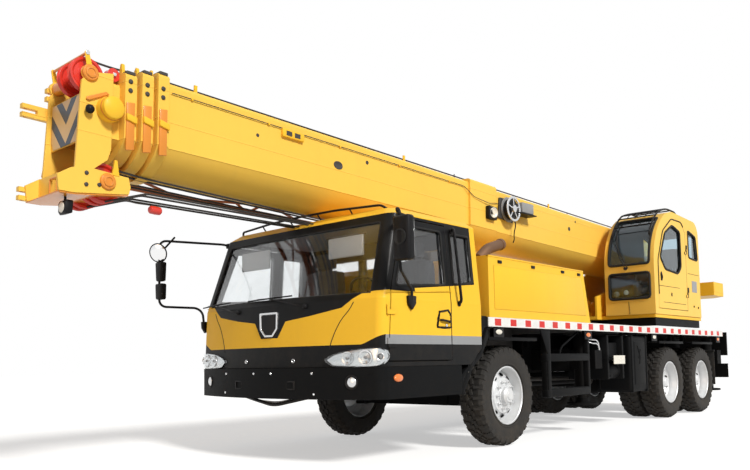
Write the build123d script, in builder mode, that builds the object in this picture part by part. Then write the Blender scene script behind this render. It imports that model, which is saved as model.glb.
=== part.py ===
from build123d import *
from math import cos, radians, sin
import os

# Three-axle mobile crane: truck carrier, slewing superstructure, four-section telescopic boom.
# Millimetres, +X forward, +Y to the left, +Z up, ground at Z = 0.
# Stations along X are measured from the front axle; FRONT_AXLE_X puts them in the model's frame,
# whose origin lies on the ground under the middle of the overall box.

FRONT_AXLE_X = 1729.0
HALF_WIDTH = 1250.0
FIT = 0.3
RUN = 0.05
SIDES = (("left", 1), ("right", -1))

# Wheels
TYRE_R = 522.0
TYRE_W = 293.0
BEAD_R = 272.0
FLANGE_R = 290.0
RIM_BASE_R = 255.0
RIM_W = 234.0
FLANGE_T = 12.0
DISC_T = 14.0
HUB_R = 130.0
STUB_R = 55.0
FRONT_TRACK = 2074.0
REAR_TRACK = 1834.0
TWIN_PITCH = 330.0
REAR_AXLES = (-4425.0, -5775.0)
KINGPIN_Y = 860.0
KINGPIN_R = 28.0
AXLE_EYE_H = 150.0
AXLE_EYE_R = 38.0
KNUCKLE_GAP = 2.0
SPRING_W = 95.0
SPRING_TO_TYRE = 40.0

# Chassis and deck
CHASSIS_HALF = 430.0
CHASSIS_BOTTOM = 720.0
CHASSIS_TOP = 1210.0
RAIL_TOP = 960.0
RAIL_T = 80.0
RAIL_FRONT = 1950.0
BOX_FRONT = -1700.0
FRAME_REAR = -7050.0
DECK_TOP = 1317.0
DECK_T = 17.0
DECK_EDGE = 96.0
DECK_FRONT = 450.0
DECK_REAR = -6800.0
BEARERS = (300.0, -1650.0, -2700.0, -3650.0, -6200.0)
BEARER_L = 60.0
BEARER_SHORT = 40.0
BEARER_BRACKET = 170.0
SLEW_X = -4450.0
PEDESTAL_R = 640.0
PEDESTAL_TOP = 1400.0
SLEW_RING_T = 60.0

# Front cab
CAB_REAR = 580.0
CAB_BOTTOM = 850.0
CAB_FLOOR = 950.0
CAB_WALL = 50.0
ROOF_T = 45.0
BELT_Z = 1430.0
EAVE_Z = 2195.0
ROOF_Z = 2262.0
CAB_GAP = 12.0
GLASS_IN = 16.0
GLASS_T = 6.0
# height, half width, corner station, middle station, corner radius
CAB_SECTIONS = (
    (CAB_BOTTOM, HALF_WIDTH, 2060.0, 2232.0, 100.0),
    (BELT_Z, HALF_WIDTH, 2030.0, 2205.0, 100.0),
    (EAVE_Z, 1185.0, 1805.0, 1822.0, 100.0),
    (ROOF_Z, 1085.0, 1725.0, 1740.0, 100.0),
)
DOOR = ((1080, 900), (1080, 2150), (1700, 2150), (1925, 1500), (1975, 900))
DOOR_WINDOW = ((1150, 1590), (1150, 2090), (1660, 2090), (1860, 1545))
QUARTER_WINDOW = ((700, 1640), (700, 2090), (1010, 2090), (1010, 1600))
WINDSHIELD = ((-1120, 1475), (-1060, 2120), (1060, 2120), (1120, 1475))
REAR_WINDOW = ((-780, 1560), (-780, 2020), (780, 2020), (780, 1560))
DOOR_SKIN_GAP = 5.0
DOOR_REACH_IN = 350.0
HINGE_R = 12.0
KNUCKLE_L = 40.0
LEAF_T = 11.0
DOOR_HINGE_X = 1985.0
DOOR_HINGE_OUT = 5.0
DOOR_HINGE_Z = (1010.0, 1290.0)
STEP_OUT = 50.0
STEP_W = 140.0
DASH_GAP = 150.0

# Bumper
BUMPER_BOTTOM = 575.0
BUMPER_TOP = 847.0
BUMPER_T = 60.0
BUMPER_MIDDLE = 2308.0
BUMPER_CORNER = 2066.0
BUMPER_REAR = 930.0

# Engine and cover
ENGINE = (-1500.0, -350.0, -330.0, 330.0, 780.0, 1640.0)
COVER = ((430, 1317), (430, 1940), (-1640, 1940), (-1795, 1317))
COVER_T = 20.0
EXHAUST_R = 50.0

# Boom rest
REST_X = 487.0
REST_T = 100.0
REST_TOP = 2180.0

# Superstructure
TURNTABLE_BOTTOM = PEDESTAL_TOP + SLEW_RING_T
TURNTABLE_T = 50.0
CHEEK_Y = 395.0
CHEEK_T = 30.0
TAIL_BOTTOM = 1962.0
TAIL_TOP = 2200.0
TAIL_HALF = 1050.0
WEIGHT_FRONT = -7100.0
WEIGHT_L = 760.0
WEIGHT_CHAMFER = 240.0
WEIGHT_END_HALF = 800.0

# Boom: stations along the boom from its foot pin, heights from the pin's level across the boom
FOOT_X = -6100.0
FOOT_Z = 2420.0
BOOM_TILT = 1.2
FOOT_PIN_R = 60.0
BOOM_TOP_H = 490.0
BOOM_HALF = 340.0
BOOM_DEPTH = 725.0
BOOM_ROUND = 195.0
BOOM_WALL = 10.0
SECTION_STEP = 32.0
BOOM_REAR = -250.0
BOOM_FRONT = 9640.0
COLLAR_L = 98.0
COLLAR_PITCH = 123.0
COLLAR_WALL = 38.0
COLLAR_FIN = 90.0
GUIDE_L = 160.0
# Boom head: plates outside the last tube carry the upper sheaves, and a box below them the lower ones
TUBE_END = 10085.0
HEAD_T = 20.0
HEAD_SHEET = 10.0
TOP_AXLE = (10235.0, 400.0)
LOW_AXLE = (10075.0, -380.0)
HEAD_AXLE_R = 35.0
HEAD_BOSS_R = 62.0
SHEAVE_HUB_R = 60.0
SHEAVE_W = 44.0
TOP_SHEAVE_R = 130.0
LOW_SHEAVE_R = 150.0
TOP_SHEAVE_Y = (30.0, 200.0)
LOW_SHEAVE_Y = (-180.0, -90.0, 90.0, 180.0)
# station, height
HEAD_SIDE = ((10049, 449), (10180, 420), (10235, 400), (10296, 337), (10328, -330), (10215, -330),
             (10080, -218), (10054, -139))
HEAD_BOX = ((9886, -392), (9904, -319), (10232, -300), (10353, -325), (10455, -391), (10440, -506),
            (10329, -506), (9900, -447))
# station, bottom, top
HEAD_FRONT = (10262, -103, 256)
BOX_FRONT_PLATE = (10345, -500, -330)
BOX_HOLE = 90.0
FORK_PIN_R = 12.0
FORK_W = 44.0
FORK_T = 35.0
FORK_SLOT = 30.0
FORK_EDGE = 30.0
# bottom, root, slot's end, tip
FORKS = (
    (305.0, 10179.0, 10238.0, 10308.0),
    (140.0, 10197.0, 10374.0, 10490.0),
    (-500.0, 10333.0, 10403.0, 10494.0),
)

# Luffing cylinder
CYL_FOOT_X = -4350.0
CYL_FOOT_Z = 1670.0
CYL_LUG_S = 5100.0
CYL_LUG_H = -400.0
EYE_R = 95.0
EYE_PIN_R = 45.0
EYE_HALF = 50.0
LUG_GAP = 12.0
LUG_T = 40.0
BARREL_R = 125.0
ROD_R = 80.0
BARREL_L = 2640.0
BARREL_BORE_FROM = 170.0
ROD_FROM = 180.0
ROD_NECK = 270.0

# Outriggers
OUTRIGGER_STATIONS = (("front", -1900.0), ("rear", -6560.0))
OUTRIGGER_PITCH = 230.0
CHANNEL_HALF = 950.0
BEAM_INNER = 1180.0
BEAM_W = 190.0
BEAM_H = 230.0
CHANNEL_T = 12.0
BEAM_CLEAR = 5.0
BEAM_BOTTOM = 760.0
JACK_Y = 1050.0
JACK_R = 80.0
JACK_TOP = 1190.0
JACK_LOW = 470.0
JACK_ROD_R = 50.0
FLOAT_R = 190.0
FLOAT_Z = 320.0
FLOAT_T = 30.0


def station(x):
    return FRONT_AXLE_X + x


def side_plane(y=0.0):
    """Sketch plane across the vehicle: X along, Z up; it extrudes to the right."""
    return Plane(origin=(FRONT_AXLE_X, y, 0), x_dir=(1, 0, 0), z_dir=(0, -1, 0))


def front_plane(x=0.0):
    """Sketch plane looking aft: Y across, Z up; it extrudes forward."""
    return Plane(origin=(station(x), 0, 0), x_dir=(0, 1, 0), z_dir=(1, 0, 0))


def level_plane(z=0.0):
    """Plan sketch plane: X along, Y across; it extrudes up."""
    return Plane(origin=(FRONT_AXLE_X, 0, z), x_dir=(1, 0, 0), z_dir=(0, 0, 1))


def block(x0, x1, y0, y1, z0, z1, mode=Mode.ADD):
    with Locations((station((x0 + x1) / 2), (y0 + y1) / 2, (z0 + z1) / 2)):
        Box(abs(x1 - x0), abs(y1 - y0), abs(z1 - z0), mode=mode)


def polygon_plate(points, y_left, thickness, mode=Mode.ADD):
    with BuildSketch(side_plane(y_left)) as profile:
        with BuildLine() as outline:
            Polyline(*points, close=True)
        make_face(outline.edges())
    extrude(profile.sketch, amount=thickness, mode=mode)


def rod(start, end, radius, mode=Mode.ADD):
    """Round bar between two points given by station, Y and Z."""
    a = Vector(station(start[0]), start[1], start[2])
    b = Vector(station(end[0]), end[1], end[2])
    with BuildSketch(Plane(origin=a, z_dir=b - a)) as profile:
        Circle(radius)
    extrude(profile.sketch, amount=(b - a).length, mode=mode)


def export(piece, name):
    piece.part.label = name
    export_step(piece.part, f"parts/{name}.step")


os.makedirs("parts", exist_ok=True)


# ---------------------------------------------------------------- wheels
def tyre_body(x, y):
    """A closed tyre: bead walls, bulging side walls and a flat tread."""
    half = TYRE_W / 2
    bead = RIM_W / 2 - FLANGE_T
    with BuildSketch(Plane(origin=(station(x), y, TYRE_R), x_dir=(0, 1, 0), z_dir=(-1, 0, 0))) as profile:
        with BuildLine() as outline:
            Line((bead, BEAD_R), (bead, FLANGE_R + 2))
            ThreePointArc((bead, FLANGE_R + 2), (half, TYRE_R * 0.77), (half - 22, TYRE_R * 0.955))
            Line((half - 22, TYRE_R * 0.955), (half - 45, TYRE_R))
            Line((half - 45, TYRE_R), (45 - half, TYRE_R))
            Line((45 - half, TYRE_R), (22 - half, TYRE_R * 0.955))
            ThreePointArc((22 - half, TYRE_R * 0.955), (-half, TYRE_R * 0.77), (-bead, FLANGE_R + 2))
            Line((-bead, FLANGE_R + 2), (-bead, BEAD_R))
            Line((-bead, BEAD_R), (bead, BEAD_R))
        make_face(outline.edges())
    revolve(profile.sketch, axis=Axis((station(x), y, TYRE_R), (0, 1, 0)))


def ring_body(x, y0, y1, r_out, r_in, mode=Mode.ADD):
    """A ring or a disc about a wheel's axis, between two Y positions."""
    with BuildSketch(Plane(origin=(station(x), min(y0, y1), TYRE_R), z_dir=(0, 1, 0))) as profile:
        Circle(r_out)
        if r_in > 0:
            Circle(r_in, mode=Mode.SUBTRACT)
    extrude(profile.sketch, amount=abs(y1 - y0), mode=mode)


def cone_disc(x, y_rim, y_hub, thickness, side):
    """A dished disc between the rim's base and the hub."""
    t = thickness * side
    with BuildSketch(Plane(origin=(station(x), 0, TYRE_R), x_dir=(0, 1, 0), z_dir=(-1, 0, 0))) as profile:
        with BuildLine() as outline:
            Polyline(
                (y_rim, RIM_BASE_R + 2),
                (y_rim, RIM_BASE_R - 20),
                (y_hub, HUB_R + 60),
                (y_hub, STUB_R + RUN),
                (y_hub - t, STUB_R + RUN),
                (y_hub - t, HUB_R + 60),
                (y_rim - t, RIM_BASE_R - 20),
                (y_rim - t, RIM_BASE_R + 2),
                close=True,
            )
        make_face(outline.edges())
    revolve(profile.sketch, axis=Axis((station(x), 0, TYRE_R), (0, 1, 0)))


def rim_barrel(x, y):
    half = RIM_W / 2
    ring_body(x, y - half, y + half, BEAD_R, RIM_BASE_R)
    ring_body(x, y - half, y - half + FLANGE_T, FLANGE_R, RIM_BASE_R)
    ring_body(x, y + half - FLANGE_T, y + half, FLANGE_R, RIM_BASE_R)


def hand_holes(x, y, count, pitch_r, radius):
    with BuildSketch(Plane(origin=(station(x), y, TYRE_R), z_dir=(0, 1, 0))) as profile:
        with PolarLocations(pitch_r, count):
            Circle(radius)
    extrude(profile.sketch, amount=60, both=True, mode=Mode.SUBTRACT)


front_y = FRONT_TRACK / 2
for side_name, side in SIDES:
    y_mid = side * front_y
    with BuildPart() as tyre:
        tyre_body(0, y_mid)
    export(tyre, f"tyre_front_{side_name}")
    with BuildPart() as rim:
        rim_barrel(0, y_mid)
        cone_disc(0, y_mid + side * 40, y_mid + side * 95, DISC_T, side)
        hand_holes(0, y_mid + side * 70, 10, 222, 24)
        ring_body(0, y_mid - side * 60, y_mid + side * 150, HUB_R - 30, STUB_R + RUN)
        ring_body(0, y_mid + side * 150, y_mid + side * 158, HUB_R - 30, 0)
    export(rim, f"rim_front_{side_name}")

outer_y = REAR_TRACK / 2 + TWIN_PITCH / 2
inner_y = REAR_TRACK / 2 - TWIN_PITCH / 2
for index, axle_x in enumerate(REAR_AXLES, start=1):
    for side_name, side in SIDES:
        with BuildPart() as tyre:
            tyre_body(axle_x, side * outer_y)
            tyre_body(axle_x, side * inner_y)
        export(tyre, f"tyres_rear_{index}_{side_name}")
        middle = side * REAR_TRACK / 2
        with BuildPart() as rim:
            rim_barrel(axle_x, side * outer_y)
            rim_barrel(axle_x, side * inner_y)
            cone_disc(axle_x, side * (outer_y - 70), middle + side * DISC_T, DISC_T, side)
            cone_disc(axle_x, side * (inner_y + 70), middle - side * DISC_T, DISC_T, -side)
            hand_holes(axle_x, middle, 8, 218, 26)
            ring_body(axle_x, middle - side * 120, middle + side * 230, HUB_R, STUB_R + RUN)
            ring_body(axle_x, middle + side * 230, middle + side * 250, HUB_R - 25, 0)
        export(rim, f"rims_rear_{index}_{side_name}")

# ---------------------------------------------------------------- axles
stub_inner = front_y - 60
for side_name, side in SIDES:
    with BuildPart() as knuckle:
        rod((0, side * (KINGPIN_Y + 60), TYRE_R), (0, side * (front_y + 60), TYRE_R), STUB_R)
        rod((0, side * (KINGPIN_Y + 60), TYRE_R), (0, side * (stub_inner - FIT), TYRE_R), 95)
        block(-60, 60, side * (KINGPIN_Y + AXLE_EYE_R + KNUCKLE_GAP), side * (KINGPIN_Y + 70),
              TYRE_R - 130, TYRE_R + 130)
        for z0 in (TYRE_R - 130, TYRE_R + AXLE_EYE_H / 2 + 5):
            block(-60, 60, side * (KINGPIN_Y - 55), side * (KINGPIN_Y + 45), z0, z0 + 50)
        rod((0, side * KINGPIN_Y, TYRE_R - 130), (0, side * KINGPIN_Y, TYRE_R + 130), KINGPIN_R)
        block(-260, -50, side * (KINGPIN_Y - 20), side * (KINGPIN_Y + 20), TYRE_R - 130, TYRE_R - 100)
    export(knuckle, f"steering_knuckle_{side_name}")

with BuildPart() as front_axle:
    half_eye = AXLE_EYE_H / 2
    block(-60, 60, -760, 760, TYRE_R - 120, TYRE_R + 20)
    for side_name, side in SIDES:
        block(-AXLE_EYE_R, AXLE_EYE_R, side * 700, side * KINGPIN_Y, TYRE_R - half_eye, TYRE_R + half_eye)
        rod((0, side * KINGPIN_Y, TYRE_R - half_eye), (0, side * KINGPIN_Y, TYRE_R + half_eye), AXLE_EYE_R)
        rod((0, side * KINGPIN_Y, 200), (0, side * KINGPIN_Y, 900), KINGPIN_R + RUN, Mode.SUBTRACT)
        block(-560, 560, side * 360, side * 440, TYRE_R + 20, TYRE_R + 60)
        block(-420, 420, side * 360, side * 440, TYRE_R + 60, TYRE_R + 100)
        for end in (-1, 1):
            block(end * 520, end * 580, side * 360, side * 430, TYRE_R + 60, 700)
        block(-70, 70, side * 360, side * 440, TYRE_R - 120, TYRE_R + 140)
export(front_axle, "front_axle")

spring_out = REAR_TRACK / 2 - TWIN_PITCH / 2 - TYRE_W / 2 - SPRING_TO_TYRE
spring_in = spring_out - SPRING_W
with BuildPart() as rear_axles:
    hub_end = REAR_TRACK / 2 - 120
    for axle_x in REAR_AXLES:
        rod((axle_x, -hub_end + FIT, TYRE_R), (axle_x, hub_end - FIT, TYRE_R), 85)
        rod((axle_x, -REAR_TRACK / 2 - 110, TYRE_R), (axle_x, REAR_TRACK / 2 + 110, TYRE_R), STUB_R)
        with Locations((station(axle_x), 0, TYRE_R)):
            Sphere(190)
    for side_name, side in SIDES:
        block(REAR_AXLES[0] + 60, REAR_AXLES[1] - 60, side * spring_in, side * spring_out, TYRE_R + 70, TYRE_R + 130)
        for axle_x in REAR_AXLES:
            block(axle_x - 70, axle_x + 70, side * (spring_in - 5), side * (spring_out + 5), TYRE_R - 60, TYRE_R + 130)
        middle_x = sum(REAR_AXLES) / 2
        block(middle_x - 110, middle_x + 110, side * (spring_in - 15), side * (spring_out + 10), TYRE_R + 40, TYRE_R + 240)
        block(middle_x - 90, middle_x + 90, side * CHASSIS_HALF, side * (spring_in - 15), TYRE_R + 60, TYRE_R + 400)
    middle_x = sum(REAR_AXLES) / 2
    rod((REAR_AXLES[1] + 150, 0, TYRE_R + 60), (REAR_AXLES[0] - 150, 0, TYRE_R + 60), 45)
    rod((REAR_AXLES[0] + 150, 0, TYRE_R + 40), (-1650, 0, TYRE_R + 40), 45)
export(rear_axles, "rear_axles")

# ---------------------------------------------------------------- chassis, deck, guards
channel_w = OUTRIGGER_PITCH * 2 + 10
channel_top = BEAM_BOTTOM + BEAM_H + BEAM_CLEAR + CHANNEL_T
channel_bottom = BEAM_BOTTOM - FIT - CHANNEL_T
with BuildPart() as chassis:
    block(FRAME_REAR, BOX_FRONT, -CHASSIS_HALF, CHASSIS_HALF, CHASSIS_BOTTOM, CHASSIS_TOP)
    for side_name, side in SIDES:
        block(BOX_FRONT, CAB_REAR - 20, side * CHASSIS_HALF, side * (CHASSIS_HALF - RAIL_T), 700, RAIL_TOP)
        block(CAB_REAR - 20, RAIL_FRONT, side * CHASSIS_HALF, side * (CHASSIS_HALF - RAIL_T), 700, CAB_BOTTOM - FIT)
        block(BOX_FRONT, -1560, side * CHASSIS_HALF, side * (CHASSIS_HALF - RAIL_T), RAIL_TOP, 1100)
    for cross_x in (1800.0, 700.0, -200.0):
        block(cross_x, cross_x + 100, -CHASSIS_HALF + RAIL_T, CHASSIS_HALF - RAIL_T, 720, 770)
    for side_name, side in SIDES:
        block(BEARERS[0], BEARERS[0] + BEARER_L, side * CHASSIS_HALF, side * (CHASSIS_HALF - RAIL_T),
              RAIL_TOP, CHASSIS_TOP)
        for bearer_x in BEARERS[1:]:
            block(bearer_x, bearer_x + BEARER_L, side * CHASSIS_HALF, side * (CHASSIS_HALF + BEARER_L),
                  CHASSIS_TOP - BEARER_BRACKET, CHASSIS_TOP)
    with BuildSketch(level_plane(CHASSIS_TOP)):
        with Locations((SLEW_X, 0)):
            Circle(PEDESTAL_R)
    extrude(amount=PEDESTAL_TOP - CHASSIS_TOP)
    with BuildSketch(level_plane(PEDESTAL_TOP)):
        with Locations((SLEW_X, 0)):
            Circle(PEDESTAL_R - 60)
    extrude(amount=SLEW_RING_T - FIT)
    block(FRAME_REAR - 40, FRAME_REAR, 20 - HALF_WIDTH, HALF_WIDTH - 20, 900, 1300)
    for side_name, side in SIDES:
        block(FRAME_REAR - 40, FRAME_REAR - 10, side * (HALF_WIDTH - 550), side * (HALF_WIDTH - 20), 520, 760)
        block(FRAME_REAR - 30, FRAME_REAR - 10, side * (HALF_WIDTH - 350), side * (HALF_WIDTH - 290), 760, 900)
    for name, x0 in OUTRIGGER_STATIONS:
        block(x0 + 115, x0 + 115 - channel_w, -500, 500, channel_bottom, channel_top, Mode.SUBTRACT)
export(chassis, "chassis_frame")

with BuildPart() as deck:
    block(DECK_REAR, DECK_FRONT, -HALF_WIDTH, HALF_WIDTH, DECK_TOP - DECK_EDGE, DECK_TOP)
    block(DECK_REAR + 8, DECK_FRONT - 8, 8 - HALF_WIDTH, HALF_WIDTH - 8,
          DECK_TOP - DECK_EDGE, DECK_TOP - DECK_T, Mode.SUBTRACT)
    with BuildSketch(level_plane(DECK_TOP - 200)):
        with Locations((SLEW_X, 0)):
            Circle(PEDESTAL_R + 5)
    extrude(amount=400, mode=Mode.SUBTRACT)
    block(ENGINE[0] - 60, ENGINE[1] + 60, ENGINE[2] - 60, ENGINE[3] + 60, 1000, 1500, Mode.SUBTRACT)
    for bearer_x in BEARERS:
        block(bearer_x, bearer_x + BEARER_L, BEARER_SHORT - HALF_WIDTH, HALF_WIDTH - BEARER_SHORT,
              CHASSIS_TOP + FIT, DECK_TOP - DECK_T - FIT)
export(deck, "deck")

with BuildPart() as guards:
    for side_name, side in SIDES:
        y0, y1 = side * (HALF_WIDTH - 470), side * (HALF_WIDTH - 15)
        for axle_x in (0.0,) + REAR_AXLES:
            block(axle_x - 520, axle_x + 430, y0, y1, 1110, 1122)
            for hanger_x in (axle_x - 300, axle_x + 250):
                block(hanger_x, hanger_x + 40, side * (HALF_WIDTH - 450), side * (HALF_WIDTH - 400), 1122, DECK_TOP - DECK_T)
        polygon_plate(((430, 1122), (445, 1215), (590, 970), (925, 740), (910, 570), (850, 570),
                       (870, 720), (560, 930)), max(y0, y1), abs(y1 - y0))
        y2, y3 = side * (HALF_WIDTH - 100), side * (HALF_WIDTH - 15)
        block(-1780, -730, y2, y3, 860, 945)
        block(-1780, -730, y2, y3, 460, 550)
        for post_x in (-1780.0, -1280.0, -790.0):
            block(post_x, post_x + 60, y2, y3, 550, 860)
        for post_x in (-1700.0, -850.0):
            block(post_x, post_x + 50, side * (HALF_WIDTH - 90), side * (HALF_WIDTH - 40), 945, DECK_TOP - DECK_T)
export(guards, "side_guards")

# Boxes hung on the frame: rear X, front X, side, inset of the outer and inner faces, bottom, top.
SIDE_BOXES = (
    (-3560.0, -3000.0, 1, 20.0, 490.0, 425.0, 1180.0),
    (-2900.0, -2350.0, 1, 50.0, 610.0, 620.0, 1180.0),
    (-3500.0, -2400.0, -1, 40.0, 610.0, 480.0, 1100.0),
    (-1600.0, -800.0, -1, 120.0, 550.0, 560.0, 1000.0),
)
BOX_BARS = (-3300.0, -2600.0)
BOX_BAR_W = 80.0
BOX_BAR_SHORT = 100.0
BOX_BAR_BOTTOM = 640.0

with BuildPart() as boxes:
    for box_rear, box_front, side, outer_inset, inner_inset, box_low, box_high in SIDE_BOXES:
        box_out = side * (HALF_WIDTH - outer_inset)
        box_in = side * (HALF_WIDTH - inner_inset)
        block(box_rear, box_front, min(box_in, box_out), max(box_in, box_out), box_low, box_high)
    for bar_x in BOX_BARS:
        block(bar_x, bar_x + BOX_BAR_W, BOX_BAR_SHORT - HALF_WIDTH, HALF_WIDTH - BOX_BAR_SHORT,
              BOX_BAR_BOTTOM, CHASSIS_BOTTOM - FIT)
    block(-1560, -1500, -1100, -CHASSIS_HALF + FIT, 640, 699)
    block(-900, -840, -1100, -CHASSIS_HALF + FIT, 640, 699)
    block(-1560, -840, -480, -400, 640, 699)
    block(-2700, -840, -460, -430, 640, 699)
export(boxes, "side_boxes")

with BuildPart() as channels:
    for name, x0 in OUTRIGGER_STATIONS:
        block(x0 + 115, x0 + 115 - channel_w, -CHANNEL_HALF, CHANNEL_HALF, channel_bottom, channel_top)
        for offset_x in (0.0, -OUTRIGGER_PITCH):
            half = BEAM_W / 2 + BEAM_CLEAR
            block(x0 + offset_x - half, x0 + offset_x + half, -CHANNEL_HALF, CHANNEL_HALF,
                  BEAM_BOTTOM - FIT, BEAM_BOTTOM + BEAM_H + BEAM_CLEAR, Mode.SUBTRACT)
export(channels, "outrigger_channels")

for name, x0 in OUTRIGGER_STATIONS:
    for side_name, side in SIDES:
        beam_x = x0 if side > 0 else x0 - OUTRIGGER_PITCH
        with BuildPart() as beam:
            block(beam_x - BEAM_W / 2, beam_x + BEAM_W / 2, -side * BEAM_INNER, side * JACK_Y,
                  BEAM_BOTTOM, BEAM_BOTTOM + BEAM_H)
            rod((beam_x, side * JACK_Y, JACK_LOW), (beam_x, side * JACK_Y, JACK_TOP), JACK_R)
            rod((beam_x, side * JACK_Y, 400), (beam_x, side * JACK_Y, JACK_TOP - 20),
                JACK_ROD_R + RUN, Mode.SUBTRACT)
        export(beam, f"outrigger_beam_{name}_{side_name}")
        with BuildPart() as jack:
            rod((beam_x, side * JACK_Y, FLOAT_Z + FLOAT_T), (beam_x, side * JACK_Y, JACK_TOP - 60), JACK_ROD_R)
            rod((beam_x, side * JACK_Y, FLOAT_Z), (beam_x, side * JACK_Y, FLOAT_Z + FLOAT_T), FLOAT_R)
            rod((beam_x, side * JACK_Y, FLOAT_Z + FLOAT_T), (beam_x, side * JACK_Y, FLOAT_Z + 90), 85)
        export(jack, f"outrigger_jack_{name}_{side_name}")


# ---------------------------------------------------------------- front cab
def cab_plan(half_width, corner_x, middle_x, radius, rear_x):
    """Plan outline of the cab: square at the back, bowed at the front."""
    with BuildLine() as outline:
        Line((corner_x, half_width), (rear_x, half_width))
        Line((rear_x, half_width), (rear_x, -half_width))
        Line((rear_x, -half_width), (corner_x, -half_width))
        ThreePointArc((corner_x, -half_width), (middle_x, 0), (corner_x, half_width))
    make_face(outline.edges())
    front_corners = vertices().sort_by(Axis.X)[-2:]
    fillet(front_corners, radius)


def cab_volume(inset, low, high):
    """The cab's outer form, drawn in by the given amount, between two heights."""
    levels = [row for row in CAB_SECTIONS]
    levels[0] = (low,) + levels[0][1:]
    levels[-1] = (high,) + levels[-1][1:]
    levels[-2] = (high - (ROOF_Z - EAVE_Z),) + levels[-2][1:]
    with BuildPart() as volume:
        for lower, upper in zip(levels[:-1], levels[1:]):
            for z, half_width, corner_x, middle_x, radius in (lower, upper):
                with BuildSketch(level_plane(z)):
                    cab_plan(half_width - inset, corner_x - inset, middle_x - inset, radius - inset * 0.6,
                             CAB_REAR + inset)
            loft(ruled=True)
    return volume.part


def prism(points, y_left, width, grow=0.0):
    """Side-view outline extruded to the right."""
    with BuildPart() as solid:
        with BuildSketch(side_plane(y_left)):
            with BuildLine():
                Polyline(*points, close=True)
            make_face()
            if grow:
                offset(amount=grow, kind=Kind.INTERSECTION)
        extrude(amount=width)
    return solid.part


def front_prism(points, x_start, length, grow=0.0):
    """Front-view outline extruded forward."""
    with BuildPart() as solid:
        with BuildSketch(front_plane(x_start)):
            with BuildLine():
                Polyline(*points, close=True)
            make_face()
            if grow:
                offset(amount=grow, kind=Kind.INTERSECTION)
        extrude(amount=length)
    return solid.part


def door_left_y(side):
    """Left face of the prism that cuts a door or a side window out of one side of the cab."""
    return HALF_WIDTH + 50 if side > 0 else DOOR_REACH_IN - HALF_WIDTH


cab_outer = cab_volume(0, CAB_BOTTOM, ROOF_Z)
cab_inner = cab_volume(CAB_WALL, CAB_FLOOR, ROOF_Z - ROOF_T)
door_back = cab_volume(CAB_WALL, CAB_BOTTOM, ROOF_Z - ROOF_T)
door_clear = cab_volume(CAB_WALL + DOOR_SKIN_GAP, CAB_BOTTOM, ROOF_Z - ROOF_T)
glass_outer = cab_volume(GLASS_IN, CAB_FLOOR, ROOF_Z - 5)
glass_inner = cab_volume(GLASS_IN + GLASS_T, CAB_FLOOR - 10, ROOF_Z)
rear_window = front_prism(REAR_WINDOW, CAB_REAR - 50, 200)
windshield = front_prism(WINDSHIELD, 1500, 1000)
arch = prism(((500, 800), (500, 1010), (590, 1000), (925, 740)), HALF_WIDTH + 100, 2 * HALF_WIDTH + 200)

with BuildPart() as cab:
    add(cab_outer)
    add(cab_inner, mode=Mode.SUBTRACT)
    add(windshield, mode=Mode.SUBTRACT)
    add(rear_window, mode=Mode.SUBTRACT)
    add(arch, mode=Mode.SUBTRACT)
    for side_name, side in SIDES:
        add(prism(QUARTER_WINDOW, door_left_y(side), DOOR_REACH_IN + 50), mode=Mode.SUBTRACT)
        with BuildPart(mode=Mode.PRIVATE) as doorway:
            add(prism(DOOR, door_left_y(side), DOOR_REACH_IN + 50, CAB_GAP))
            add(door_clear, mode=Mode.SUBTRACT)
        add(doorway.part, mode=Mode.SUBTRACT)
        hinge_y = side * (HALF_WIDTH + DOOR_HINGE_OUT)
        for z0 in DOOR_HINGE_Z:
            rod((DOOR_HINGE_X, hinge_y, z0 - FIT), (DOOR_HINGE_X, hinge_y, z0 + KNUCKLE_L + FIT),
                HINGE_R + 1, Mode.SUBTRACT)
            rod((DOOR_HINGE_X, hinge_y, z0 + KNUCKLE_L + FIT), (DOOR_HINGE_X, hinge_y, z0 + 2 * KNUCKLE_L), HINGE_R)
            block(DOOR_HINGE_X - HINGE_R, DOOR_HINGE_X + 5, side * (HALF_WIDTH - 25), hinge_y,
                  z0 + KNUCKLE_L + FIT, z0 + 2 * KNUCKLE_L)
export(cab, "cab_shell")

with BuildPart() as panes:
    add(glass_outer)
    add(glass_inner, mode=Mode.SUBTRACT)
    with BuildPart(mode=Mode.PRIVATE) as keep:
        add(front_prism(WINDSHIELD, 1500, 1000, -FIT))
        add(front_prism(REAR_WINDOW, CAB_REAR - 50, 200, -FIT))
        for side_name, side in SIDES:
            add(prism(QUARTER_WINDOW, door_left_y(side), DOOR_REACH_IN + 50, -FIT))
    add(keep.part, mode=Mode.INTERSECT)
export(panes, "cab_windows")

for side_name, side in SIDES:
    y_left = door_left_y(side)
    width = DOOR_REACH_IN + 50
    hinge_y = side * (HALF_WIDTH + DOOR_HINGE_OUT)
    with BuildPart() as door:
        add(cab_outer)
        add(door_back, mode=Mode.SUBTRACT)
        add(prism(DOOR, y_left, width), mode=Mode.INTERSECT)
        add(prism(DOOR_WINDOW, y_left, width), mode=Mode.SUBTRACT)
        for z0 in DOOR_HINGE_Z:
            block(DOOR_HINGE_X - 95, DOOR_HINGE_X - 55, side * (HALF_WIDTH - 10), side * (HALF_WIDTH + LEAF_T),
                  z0, z0 + KNUCKLE_L)
            block(DOOR_HINGE_X - 60, DOOR_HINGE_X, side * (HALF_WIDTH + 0.5), side * (HALF_WIDTH + LEAF_T),
                  z0, z0 + KNUCKLE_L)
            rod((DOOR_HINGE_X, hinge_y, z0), (DOOR_HINGE_X, hinge_y, z0 + KNUCKLE_L), HINGE_R)
    export(door, f"cab_door_{side_name}")
    with BuildPart() as pane:
        add(glass_outer)
        add(glass_inner, mode=Mode.SUBTRACT)
        add(prism(DOOR_WINDOW, y_left, width, -FIT), mode=Mode.INTERSECT)
    export(pane, f"cab_door_window_{side_name}")

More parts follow.
